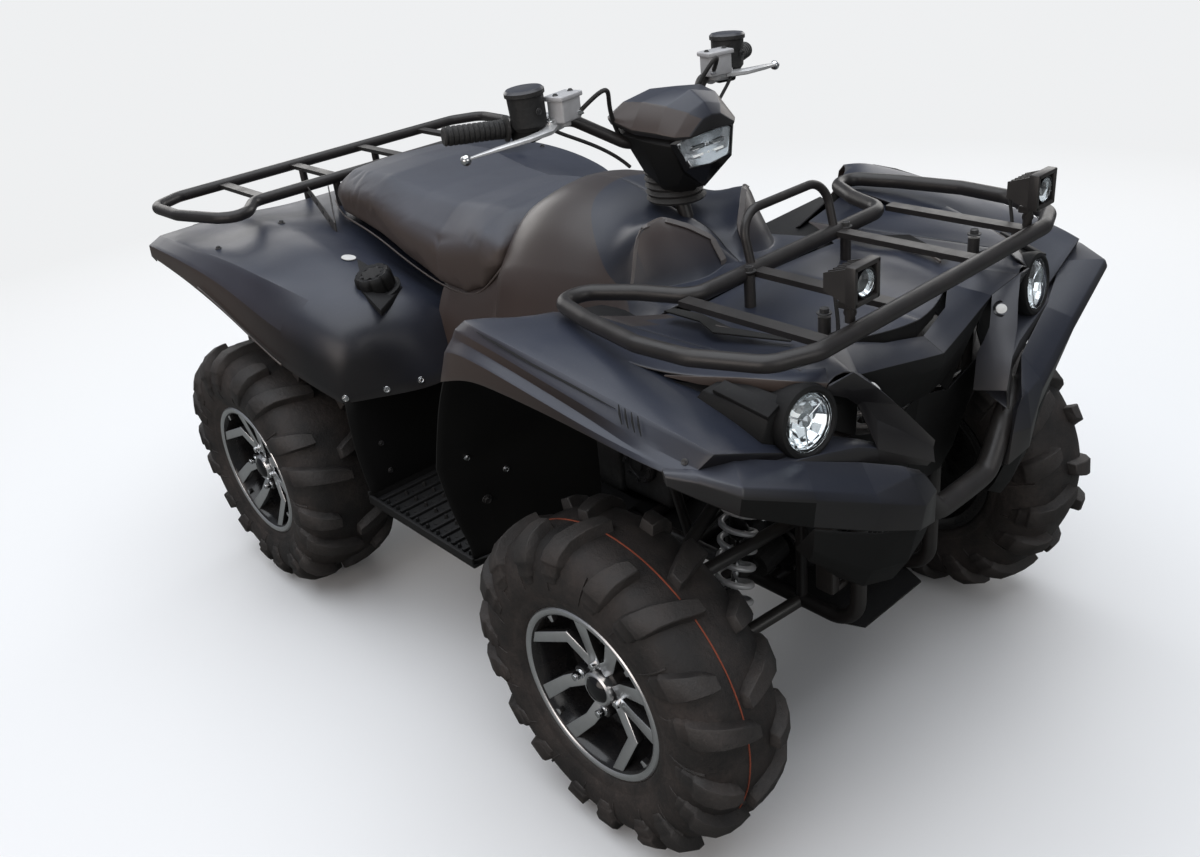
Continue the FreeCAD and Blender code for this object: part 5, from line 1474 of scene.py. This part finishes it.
def makeLever():
    points = [Vector(fromHead(*point)) for point in controls["lever"]]
    rings = []
    for index, (point, width) in enumerate(zip(points, controls["leverWidths"])):
        way = (points[min(index + 1, len(points) - 1)] - points[max(index - 1, 0)]).normalized()
        aside = way.cross(Vector((0, 0, 1))).normalized() * width / 2
        rise = Vector((0, 0, width * 0.24))
        rings.append([tuple(point + a * aside + b * rise) for a, b in
                      ((1, 0.5), (0.5, 1), (-0.5, 1), (-1, 0.5), (-1, -0.5), (-0.5, -1), (0.5, -1),
                       (1, -0.5))])
    blade = dress(facets("lever", rings, 0), "satinAlloy", angle=60)
    ball = dress(turnedPart("ball", [(-10, 0.3), (-8.6, 5), (-5, 8.6), (0, 10), (5, 8.6), (8.6, 5),
        (10, 0.3), (-10, 0.3)], fromHead(*controls["ball"]), (1, 0.3, 0), 24), "polishedAlloy", angle=60)
    perch = dress(cubeOf("perch", fromHead(224, 58, 72), (50, 40, 24), (0, 0, -0.34), 6, 3), "satinAlloy",
        angle=40)
    clamp = dress(rodBetween("clamp", fromHead(212, 71, 70), fromHead(240, 81, 72), 19, 24, round=2),
        "satinAlloy", angle=40)
    x, behind, above = controls["tank"]
    wide, deep, high = controls["tankSize"]
    tank = cubeOf("tank", fromHead(x, behind, above - 3), (wide - 8, deep - 6, high - 8), (0, 0, -0.2), 4, 3)
    lid = cubeOf("lid", fromHead(x, behind, above + high / 2 - 8), (wide, deep, 9), (0, 0, -0.2), 2.5, 3)
    neck = rodBetween("neck", fromHead(x, behind + 6, above - 34), fromHead(x, behind + 6, above - 20), 13,
        24)
    for part in (tank, lid, neck):
        smooth(part, 40)
        dress(part, "greyPaint")
    parts = [blade, ball, perch, clamp, tank, lid, neck]
    for offset in (-1, 1):
        parts.append(dress(boltAt(fromHead(x + offset * 21, behind - offset * 4, above + high / 2 - 4),
            (0, 0, 1), 3.6, 5.2), "castAlloy"))
    pivot = dress(boltAt(fromHead(236, 40, 80), (0, 0, 1), 5.5, 8), "polishedAlloy")
    hose = dress(hoseThrough("hose", [fromHead(178, 30, 84), fromHead(150, -20, 134), fromHead(132, -6, 112),
        fromHead(112, 22, 62), fromHead(88, 18, 10)], 4.2, 3), "gripRubber")
    fitting = dress(rodBetween("fitting", fromHead(186, 34, 82), fromHead(172, 24, 88), 6, 6),
        "polishedAlloy")
    return join(parts + [pivot, hose, fitting], "levers")


place(bothSidesOf(makeLever(), "levers"), "brakeLevers", "steering", "polished_metal", "brake_levers")
print("controls made")

# lamps
headlamp = {"face": Vector((329, -921, 842)), "way": Vector((0.12, -1, 0.12)).normalized(), "radius": 50}


def makeHeadlamp():
    face, way, radius = headlamp["face"], headlamp["way"], headlamp["radius"]
    def at(depth):
        return tuple(face + way * depth)
    glass = dress(turnedPart("glass", [(-4, radius - 3), (0, radius - 3), (5, radius - 10), (9, radius - 26),
        (10.5, 0.4), (7.5, 0.4), (6, radius - 26), (2, radius - 11), (-4, radius - 6), (-4, radius - 3)],
        at(0), way, 56), "lampGlass", angle=50)
    bowl = dress(turnedPart("bowl", [(-3, radius - 4), (-12, radius - 9), (-24, radius - 18),
        (-34, radius - 32), (-38, 0.4), (-42, 0.4), (-38, radius - 28), (-26, radius - 12), (-3, radius - 1),
        (-3, radius - 4)], at(0), way, 16), "lampMirror")
    bulb = dress(turnedPart("bulb", [(-38, 0.3), (-38, 8), (-22, 8), (-16, 5), (-14, 0.3), (-38, 0.3)],
        at(0), way, 20), "lampBulb", angle=50)
    shade = dress(turnedPart("shade", [(-14, 0.3), (-14, 11), (-6, 9), (-4, 0.3), (-14, 0.3)], at(0), way,
        20), "polishedAlloy")
    ring = dress(turnedPart("ring", [(-8, radius - 4), (2, radius - 4), (5, radius), (3, radius + 6),
        (-6, radius + 9), (-70, radius - 2), (-110, radius - 16), (-110, radius - 22), (-8, radius - 3),
        (-8, radius - 4)], at(0), way, 56), "blackPlastic", angle=35)
    parts = [glass, bowl, bulb, shade, ring]
    for number in range(3):
        turn = math.tau * number / 3 + 0.5
        aside = way.cross(Vector((0, 0, 1))).normalized()
        rise = aside.cross(way)
        out = aside * math.cos(turn) + rise * math.sin(turn)
        parts.append(dress(rodBetween("strut", face - way * 10 + out * 8,
            face - way * 8 + out * (radius - 8), 1.6, 8), "polishedAlloy"))
    # a tapered housing behind with a black plastic panel
    back = [(345, -900, 882), (395, -900, 868), (405, -895, 830), (352, -900, 800)]
    far = [(372, -800, 902), (415, -790, 893), (430, -780, 872), (400, -790, 850)]
    case = dress(facets("case", [back, far], 3, 2), "blackPlastic")
    plate = dress(facets("plate", [[(372, -902, 884), (398, -902, 874), (396, -900, 866), (370, -900, 876)],
        [(388, -812, 905), (412, -808, 897), (410, -806, 890), (386, -810, 898)]], 1.5, 2), "blackPlastic")
    return join(parts + [case, plate], "headlamp")


place(bothSidesOf(makeHeadlamp(), "headlamps"), "headlamps", "chassis", "lamp_glass", "headlamps")


def makeWorkLamp(x):
    y, z = -910, 1026
    corners = ((1, 1), (1, -1), (-1, -1), (-1, 1))
    rings = [[(x + a * half, y + back, z + b * half * squash) for a, b in corners]
             for half, back, squash in ((27, -16, 1), (17, 26, 0.8))]
    body = dress(facets("body", rings, 2, 2), "blackPlastic")
    bars = [cubeOf("bar", (x + a * 27.5, y - 20, z + b * 27.5), (62 if b else 8, 18, 8 if b else 62),
                   round=2) for a, b in ((1, 0), (-1, 0), (0, 1), (0, -1))]
    front = dress(join(bars + [cubeOf("plate", (x, y - 15, z), (56, 6, 56))], "front"), "rackPaint",
        angle=35)
    parts = [body, front]
    for number in range(6):
        parts.append(dress(facets("fin", [[(x - 29 + number * 11.6 + a, y - 12 if b else y + 28, z + c)
            for a, b, c in ((1.4, 1, 27), (1.4, 0, 14), (1.4, 0, -14), (1.4, 1, -27))],
            [(x - 29 + number * 11.6 + a, y - 12 if b else y + 28, z + c) for a, b,
            c in ((-1.4, 1, 27), (-1.4, 0, 14), (-1.4, 0, -14), (-1.4, 1, -27))]], 0), "rackPaint"))
    bowl = dress(turnedPart("bowl", [(0, 20), (-9, 14), (-12, 0.4), (-14, 0.4), (-11, 16), (-1, 22),
        (0, 20)], (x, y - 24, z), (0, -1, 0), 24), "lampMirror")
    glass = dress(turnedPart("glass", [(-1, 21), (1, 21), (5, 14), (6.5, 0.4), (4.5, 0.4), (2.5, 13),
        (-1, 20), (-1, 21)], (x, y - 24, z), (0, -1, 0), 32), "lampGlass", angle=50)
    chip = dress(cubeOf("chip", (x, y - 15, z), (9, 3, 9), round=1), "lampBulb")
    ring = dress(turnedPart("ring", [(-4, 21), (2, 21), (3, 23), (-4, 25), (-4, 21)], (x, y - 24, z),
        (0, -1, 0), 32), "blackGloss")
    cheek = cubeOf("cheek", (x, y + 2, z - 36), (36, 20, 12), round=2)
    post = rodBetween("post", (x, y + 2, z - 68), (x, y + 2, z - 30), 8, 20)
    for part in (cheek, post):
        dress(part, "rackPaint")
    bolt = dress(boltAt((x, y + 2, z - 52), (-0.8, -0.6, 0), 6, 10), "castAlloy")
    lead = dress(hoseThrough("lead", [(x + 14, y + 28, z), (x + 26, y + 52, z + 4), (x + 30, y + 56, z - 40),
        (x + 24, y + 40, z - 84), (x + 8, y + 30, z - 104)], 3.2, 3), "gripRubber")
    return join(parts + [bowl, glass, chip, ring, cheek, post, bolt, lead], "workLamp")


place(join([makeWorkLamp(-212), makeWorkLamp(302)], "workLamps"), "workLamps", "chassis", "lamp_body",
    "work_lamps")


def makeTailLamp():
    case = dress(cubeOf("case", (380, 1006, 833), (98, 44, 32), round=5, segments=3), "blackPlastic")
    pane = dress(cubeOf("pane", (380, 1028, 833), (88, 14, 24), round=4, segments=3), "tailRed")
    for part in (case, pane):
        smooth(part, 40)
    parts = [case, pane]
    for number in range(9):
        parts.append(dress(cubeOf("rib", (344 + number * 9, 1035, 833), (2, 3, 20), round=0.5, segments=1),
            "tailRed"))
    return join(parts, "tailLamp")


place(bothSidesOf(makeTailLamp(), "tailLamps"), "tailLamps", "chassis", "tail_lens", "tail_lamps")
print("lamps made")

# fuel cap with eight lobes
fuelCap = {"foot": (-330, 283, 795), "way": (-0.25, -0.05, 1), "radius": 43, "height": 44}


def makeFuelCap():
    radius, height = fuelCap["radius"], fuelCap["height"]
    rings = []
    for level, scale in ((0, 0.94), (6, 0.97), (8, 1.0), (height - 12, 1.0), (height - 4, 0.96),
            (height, 0.86)):
        ring = []
        for number in range(48):
            turn = math.tau * number / 48
            lobe = 1.0 - 0.10 * max(0.0, math.cos(turn * 8)) ** 3
            reach = radius * scale * lobe
            ring.append((reach * math.sin(turn), reach * math.cos(turn), level))
        rings.append(ring)
    body = facets("cap", rings, 0)
    startEdit(body, "FACE", lambda middle, way: way.z > 0.95 and middle.z > (height - 1) * mm)
    bpy.ops.mesh.inset(thickness=7 * mm, depth=-3 * mm)
    bpy.ops.mesh.inset(thickness=4 * mm, depth=2 * mm)
    endEdit()
    turn = Vector((0, 0, 1)).rotation_difference(Vector(fuelCap["way"]).normalized()).to_matrix().to_4x4()
    body.data.transform(Matrix.Translation(Vector(fuelCap["foot"]) * mm) @ turn)
    smooth(body, 35)
    dress(body, "blackPlastic")
    collar = dress(turnedPart("collar", [(-6, 30), (-6, 50), (1, 52), (4, 48), (3, 40), (-2, 36), (-6, 30)],
        fuelCap["foot"], fuelCap["way"], 48), "blackPlastic", angle=40)
    return join([body, collar], "fuelCap")


place(makeFuelCap(), "fuelCap", "chassis", "black_plastic", "fuel_cap")


# footboards: a tray with cross ribs, cleats and round holes, the holes discs of painted shade
def makeBoard():
    tray = dress(cubeOf("tray", (347, 26, 331), (294, 408, 10), round=4, segments=2), "blackPlastic")
    apron = dress(panel("apron", [[(204, -296, 347), (344, -238, 347), (490, -174, 347)],
        [(204, -174, 334), (344, -174, 334), (490, -172, 334)]], levels=0, wall=3), "blackPlastic")
    inner = dress(panel("inner", [[(122, -296, 352), (122, 30, 366), (122, 229, 366)],
        [(206, -296, 350), (206, 30, 386), (206, 229, 386)]], levels=0, wall=3), "blackPlastic")
    parts = [tray, apron, inner]
    for number in range(10):
        parts.append(dress(cubeOf("rib", (347, -158 + number * 40, 339), (262, 9, 9), round=2, segments=2),
            "blackPlastic"))
    for row in range(9):
        for column in range(5):
            across = 247 + column * 50
            along = -138 + row * 40
            hole = dress(rodBetween("hole", (across, along, 336), (across, along, 337.2), 9, 18), "paintedShadeBlack")
            cleat = dress(rodBetween("cleat", (across + 25, along, 335), (across + 25, along, 346), 6, 4, 4,
                0.8), "blackPlastic")
            parts += [hole, cleat]
    for centre, size in (((203, 26, 360), (8, 404, 62)), ((491, 26, 340), (8, 404, 22)),
            ((350, 227, 344), (290, 6, 34))):
        parts.append(dress(cubeOf("edge", centre, size, round=2.5, segments=2), "blackPlastic"))
    return join(parts, "board")


place(bothSidesOf(makeBoard(), "footboards"), "footboards", "chassis", "black_plastic", "footboards")


# dampers with coil springs
def makeShock(top, foot):
    top, foot = Vector(top), Vector(foot)
    way = (foot - top).normalized()
    length = (foot - top).length
    can = turnedPart("can", [(0, 0.5), (0, 17), (6, 19), (length * 0.50, 19), (length * 0.52, 12),
                             (length * 0.52, 0.5), (0, 0.5)], top, way, 24)
    rod = turnedPart("rod", [(length * 0.4, 0.5), (length * 0.4, 7), (length, 7), (length, 0.5),
                             (length * 0.4, 0.5)], top, way, 16)
    smooth(can, 40)
    dress(can, "blackGloss")
    dress(rod, "polishedAlloy")
    cups = []
    for share, big in ((0.14, 40), (0.86, 39)):
        cups.append(dress(turnedPart("cup", [(-4, 10), (-4, big - 3), (0, big), (5, big), (5, 10), (-4, 10)],
            top + way * length * share, way, 32), "rackPaint"))
    aside = way.cross(Vector((0, 1, 0))).normalized()
    other = way.cross(aside)
    points = []
    turns, steps = 9.0, 16
    for number in range(int(turns * steps) + 1):
        share = number / (turns * steps)
        angle = share * turns * math.tau
        along = length * (0.155 + share * 0.69)
        points.append(tuple(top + way * along + (aside * math.cos(angle) + other * math.sin(angle)) * 33))
    # the coil's pale finish is a painted highlight
    coil = dress(hoseThrough("coil", points, 6.0, 3, 3), "springPaint", angle=60)
    eyes = []
    for spot in (top, foot):
        eye = rodBetween("eye", spot - Vector((0, 17, 0)), spot + Vector((0, 17, 0)), 15, 24, round=2)
        bolt = rodBetween("pin", spot - Vector((0, 23, 0)), spot + Vector((0, 23, 0)), 8, 6, round=1)
        dress(eye, "rackPaint")
        dress(bolt, "castAlloy")
        eyes += [eye, bolt]
    return join([can, rod, coil] + cups + eyes, "shock")


shocks = join([bothSidesOf(makeShock((159, -645, 690), (275, -684, 262)), "front"),
               bothSidesOf(makeShock((185, 643, 770), (300, 653, 262)), "rear")], "shocks")
place(shocks, "shocks", "chassis", "spring_metal", "shocks")
print("cap, boards and dampers made")


# small parts of the panels, laid on the skins below them
def onSkin(piece, spot, way=(0, 0, -1)):
    # where a ray from 60 mm before the spot meets the piece, in mm, and the skin's outward way
    way = Vector(way).normalized()
    met, spotMet, normal, _ = piece.ray_cast(Vector(spot) * mm - way * 0.06, way)
    return (spotMet / mm, normal) if met else (Vector(spot), -way)


def makeBladeLamp():
    spot, way = (186, -936, 846), (-0.53, -0.47, 0.70)
    ring = turnedPart("ring", [(-6, 8), (-6, 16), (2, 16), (3, 12), (1, 11), (-6, 8)], spot, way, 32)
    glass = turnedPart("glass", [(-4, 11), (1, 11), (4, 7), (5, 0.4), (-4, 0.4), (-4, 11)], spot, way, 32)
    for part, label in ((ring, "blackGloss"), (glass, "sticker")):
        smooth(part, 40)
        dress(part, label)
    return join([ring, glass], "bladeLamp")


hoodTrim = {
    "vent": [(258, -557, 910), (250, -633, 906), (277, -688, 909), (226, -806, 905), (212, -800, 903),
             (236, -690, 903), (222, -610, 904), (236, -562, 908)],
    "strip": [(249, -668, 906), (240, -740, 904), (205, -800, 900)],
}


def makeHoodTrim():
    # the vent is a plate of painted shade
    vent = dress(plateOf("vent", hoodTrim["vent"], 3, 0.6), "paintedShadeBlack")
    edge = dress(ribbon("edge", hoodTrim["strip"], 11, (0, 0, 1), 4), "bronzePlastic")
    return join([vent, edge], "hoodTrim")


place(bothSidesOf(join([makeBladeLamp(), makeHoodTrim()], "noseTrim"), "noseTrim"), "noseTrim", "chassis",
      "body_plastic")

# the dark plate round the fuel cap and a plain oval sticker by it
fenderSkin = bpy.data.objects["rearFender"]
plateCorners = [onSkin(fenderSkin, (x, y, 830))[0] for x, y in ((-309, 392), (-284, 256))]
plateCorners += [Vector((-390, 182, 784)), onSkin(fenderSkin, (-374, 282, 830))[0]]
fuelPlate = dress(facets("fuelPlate", [[tuple(corner + Vector((0, 0, rise))) for corner in plateCorners]
    for rise in (3.5, -12)], 2, 2), "blackPlastic")
spot, way = onSkin(fenderSkin, (-326, 400, 850))
oval = turnedPart("oval", [(0, 0.4), (0, 15), (1.6, 14.4), (2.0, 0.4), (0, 0.4)], (0, 0, 0), (0, 0, 1), 32)
oval.data.transform(Matrix.Translation((spot + way * 2.2) * mm)
                    @ Vector((0, 0, 1)).rotation_difference(way).to_matrix().to_4x4()
                    @ Matrix.Diagonal((1.2, 0.9, 1, 1)))
dress(oval, "sticker")
place(join([fuelPlate, oval], "fuelTrim"), "fuelTrim", "chassis", "black_plastic")

# piece, place before it, way of the ray, radius and finish of each fastener on the vehicle's left
fasteners = [
    ["rearFender", (496, 190, 606), (0, 1, 0), 5.5, "polishedAlloy"],
    ["rearFender", (420, 140, 612), (0, 1, 0), 5, "polishedAlloy"],
    ["rearFender", (350, 100, 616), (0, 1, 0), 5, "polishedAlloy"],
    ["rearGuards", (440, 180, 470), (0, 1, 0), 4.5, "castAlloy"],
    ["rearGuards", (430, 180, 392), (0, 1, 0), 4.5, "castAlloy"],
    ["mudPanels", (420, -330, 560), (0, 1, 0), 4.5, "polishedAlloy"],
    ["mudPanels", (500, -330, 620), (0, 1, 0), 4.5, "polishedAlloy"],
    ["mudPanels", (330, -360, 660), (0, 1, 0), 4.5, "polishedAlloy"],
    ["mudPanels", (460, -330, 500), (0, 1, 0), 7, "castAlloy"],
    ["frontFenders", (540, -870, 870), (0, 0, -1), 3.5, "castAlloy"],
    ["rearFender", (330, 700, 890), (0, 0, -1), 6, "castAlloy"],
    ["rearFender", (505, 690, 890), (0, 0, -1), 5, "castAlloy"],
]
heads = []
for name, start, along, radius, label in fasteners:
    spot, way = onSkin(bpy.data.objects[name], start, along)
    heads.append(dress(boltAt(spot, way, radius, radius * 1.5), label))
for spot in ((211, -860, 960), (135, -645, 960)):
    heads.append(dress(boltAt(spot, (0, 0, 1), 8, 12), "castAlloy"))
place(bothSidesOf(join(heads, "fasteners"), "fasteners"), "fasteners", "chassis", "cast_metal")

# straps from the rear rack down to its fender, their holes rods of painted shade
brackets = []
foot = Vector((250, 578, 862))
for head in (Vector((200, 790, 921)), Vector((176, 716, 921))):
    aside = (head - foot).cross(Vector((0, 0, 1))).normalized()
    brackets.append(dress(facets("strap", [[tuple(end + aside * a + Vector((0, 0, b))) for a,
        b in ((-1.5, -w), (1.5, -w), (1.5, w), (-1.5, w))] for end, w in ((foot, 15), (head, 11))], 0.6, 1),
        "rackPaint"))
    for share in (0.2, 0.4, 0.6, 0.8):
        spot = foot.lerp(head, share)
        brackets.append(dress(rodBetween("hole", spot - aside * 1.9, spot + aside * 1.9, 4.5, 16),
            "paintedShadeBlack"))
place(bothSidesOf(join(brackets, "rackBrackets"), "rackBrackets"), "rackBrackets", "chassis", "black_metal")

# pale piping round the seat's foot
foots = [Vector((half[3][0] - 1, behind, half[3][1] + 4)) for behind, half in seat["rings"]]
piping = dress(hoseThrough("piping", [tuple(foot) for foot in foots], 2.4, 3, 3), "bronzePlastic")
place(bothSidesOf(piping, "seatPiping"), "seatPiping", "chassis", "seat_cover")

# the painted line round the near front tread
line = spunProfile("treadLine", [(517, 304), (517, 305.6), (519, 305.6), (519, 304), (517, 304)], 120,
                   (0, -640 * mm, 325 * mm))
line.data.transform(Matrix.Diagonal((-1, 1, 1, 1)))
line.data.flip_normals()
dress(line, "redLine")
place(line, "treadLine", "wheel_front_right", "tyre_rubber")
print("trim made")


# engine and drive, each in the place and size of its CAD block
def plain(name, centre, size, label="castAlloy", round=3.0, segments=2):
    return dress(cubeOf(name, centre, size, round=round, segments=segments), label, angle=40)


def discOn(name, centre, side, radius, high, label="castAlloy"):
    # a round cover with a stepped face and a ring of bolts, on a side wall
    cover = dress(turnedPart(name, [(0, 0.4), (0, radius), (high - 5, radius), (high, radius - 5),
        (high, radius * 0.66), (high - 3, radius * 0.62), (high - 3, radius * 0.34),
        (high + 1, radius * 0.30), (high + 1, 0.4), (0, 0.4)], centre, (side, 0, 0), 48), label, angle=35)
    parts = [cover]
    for number in range(8):
        turn = math.tau * number / 8
        spot = (centre[0] + side * (high - 1), centre[1] + math.cos(turn) * radius * 0.82,
                centre[2] + math.sin(turn) * radius * 0.82)
        parts.append(dress(boltAt(spot, (side, 0, 0), 5, 7), "castAlloy"))
    return parts


engine = {
    # centre, size and rounding of each block
    "blocks": [
        [(0, 70, 400), (172, 540, 170), 16], [(0, -250, 420), (150, 190, 200), 18],
        [(0, 250, 500), (176, 190, 200), 20], [(0, -20, 585), (150, 190, 50), 14],
        [(0, 110, 560), (120, 120, 80), 10],
    ],
    "fins": (-20, 170, 480, 565, 8),
    "covers": [[(86, -40, 415), 1, 88, 14], [(86, 200, 430), 1, 74, 14], [(-86, 20, 415), -1, 80, 14],
               [(-84, 235, 440), -1, 52, 16], [(75, -260, 420), 1, 46, 16], [(-75, -260, 420), -1, 46, 16]],
}


def makeEngine():
    parts = [plain("block", *row[:2], round=row[2], segments=3) for row in engine["blocks"]]
    along, deep, low, high, count = engine["fins"]
    for number in range(count):
        parts.append(plain("fin", (0, along, low + (high - low) * number / (count - 1)), (166, deep, 3.6),
            round=0.8))
    parts.append(plain("barrel", (0, along, (low + high) / 2), (136, deep - 32, high - low), round=12))
    for row in engine["covers"]:
        parts += discOn("cover", *row)
    for side in (-1, 1):
        for number in range(6):
            parts.append(plain("rib", (side * 87, 60 + number * 40 - 150, 345), (4, 5, 46), round=1))
    pipe = dress(hoseThrough("pipe", [(30, 70, 560), (60, 130, 560), (120, 260, 570), (150, 400, 610),
        (170, 560, 632), (188, 660, 640), (196, 724, 640)], 17, 5), "rackPaint", angle=60)
    hose = hoseThrough("hose", [(-40, -100, 560), (-70, -200, 580), (-80, -400, 600), (-90, -640, 590),
                                (-100, -800, 580)], 14, 4)
    other = hoseThrough("hose", [(50, -100, 470), (90, -220, 400), (95, -420, 390), (100, -640, 420),
                                 (100, -800, 440)], 14, 4)
    for line in (hose, other):
        smooth(line, 60)
        dress(line, "gripRubber")
    return join(parts + [pipe, hose, other], "engine")


place(makeEngine(), "engine", "chassis", "cast_metal", "engine_block")


def makeGearCase(along):
    parts = [plain("case", (0, along, 382), (120, 122, 132), round=22, segments=4)]
    for side in (-1, 1):
        parts += discOn("cover", (side * 58, along, 354), side, 52, 14)
        parts.append(plain("foot", (side * 54, along, 440), (40, 110, 16), round=4))
    for number in range(5):
        parts.append(plain("rib", (0, along - 48 + number * 24, 448), (96, 5, 8), round=1.5))
    return join(parts, "gearCase")


place(join([makeGearCase(-645), makeGearCase(613)], "gearCases"), "gearCases", "chassis", "cast_metal",
    "gear_cases")


def makeMuffler():
    can = dress(turnedPart("can", [(0, 0.4), (0, 52), (14, 66), (20, 70), (226, 70), (228, 66), (238, 66),
        (244, 58), (248, 50), (250, 30), (244, 26), (244, 0.4), (0, 0.4)], (196, 723, 640), (0, 1, 0), 56),
        "rackPaint", angle=35)
    parts = [can]
    for along in (760, 930):
        parts.append(dress(turnedPart("band", [(0, 69), (0, 71.5), (14, 71.5), (14, 69), (0, 69)],
            (196, along, 640), (0, 1, 0), 56), "castAlloy"))
    outlet = dress(turnedPart("outlet", [(0, 15), (0, 21), (26, 21), (26, 17), (4, 16), (0, 15)],
        (205, 946, 622), (0, 1, -0.2), 32), "satinAlloy")
    shield = plain("shield", (196, 845, 712), (84, 150, 3), "rackPaint", 1)
    return join(parts + [outlet, shield], "muffler")


place(makeMuffler(), "muffler", "chassis", "black_metal", "muffler")


def makeRadiator():
    parts = [plain("core", (0, -822, 510), (316, 22, 216), "blackPlastic", 1)]
    for side in (-1, 1):
        parts.append(plain("tank", (side * 159, -824, 510), (22, 40, 238), "rackPaint", 5))
        parts.append(plain("rail", (0, -824, 510 + side * 113), (300, 38, 12), "rackPaint", 2))
    for number in range(24):
        parts.append(plain("fin", (0, -835, 408 + number * 8.8), (296, 5, 1.6), "castAlloy", 0.4, 1))
    cap = dress(rodBetween("cap", (-120, -824, 625), (-120, -824, 634), 17, 24, 15, 2), "satinAlloy")
    return join(parts + [cap], "radiator")


place(makeRadiator(), "radiator", "chassis", "black_metal", "radiator")
print("engine and drive made")


# finishes of the CAD nodes that stay
nodeFinish = {
    "rackPaint": ["front_rack", "rear_rack", "frame", "bumper_bar", "suspension_arms", "steering_shaft",
                  "handlebar", "tie_rod_left", "tie_rod_right"],
    "castAlloy": ["rear_knuckles", "knuckle_left", "knuckle_right"],
    "gripRubber": ["half_shafts"],
}
for node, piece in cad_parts.items():
    if piece.hide_render:
        continue
    label = next((key for key, names in nodeFinish.items() if node in names), "blackPlastic")
    piece.data.materials.clear()
    piece.data.materials.append(finish[label])

addCamera()
for name, values in lamps.items():
    addLamp(name, *values)
addWorld()
addFloor()
bpy.context.scene.view_settings.view_transform = "Standard"
bpy.context.scene.view_settings.look = "None"
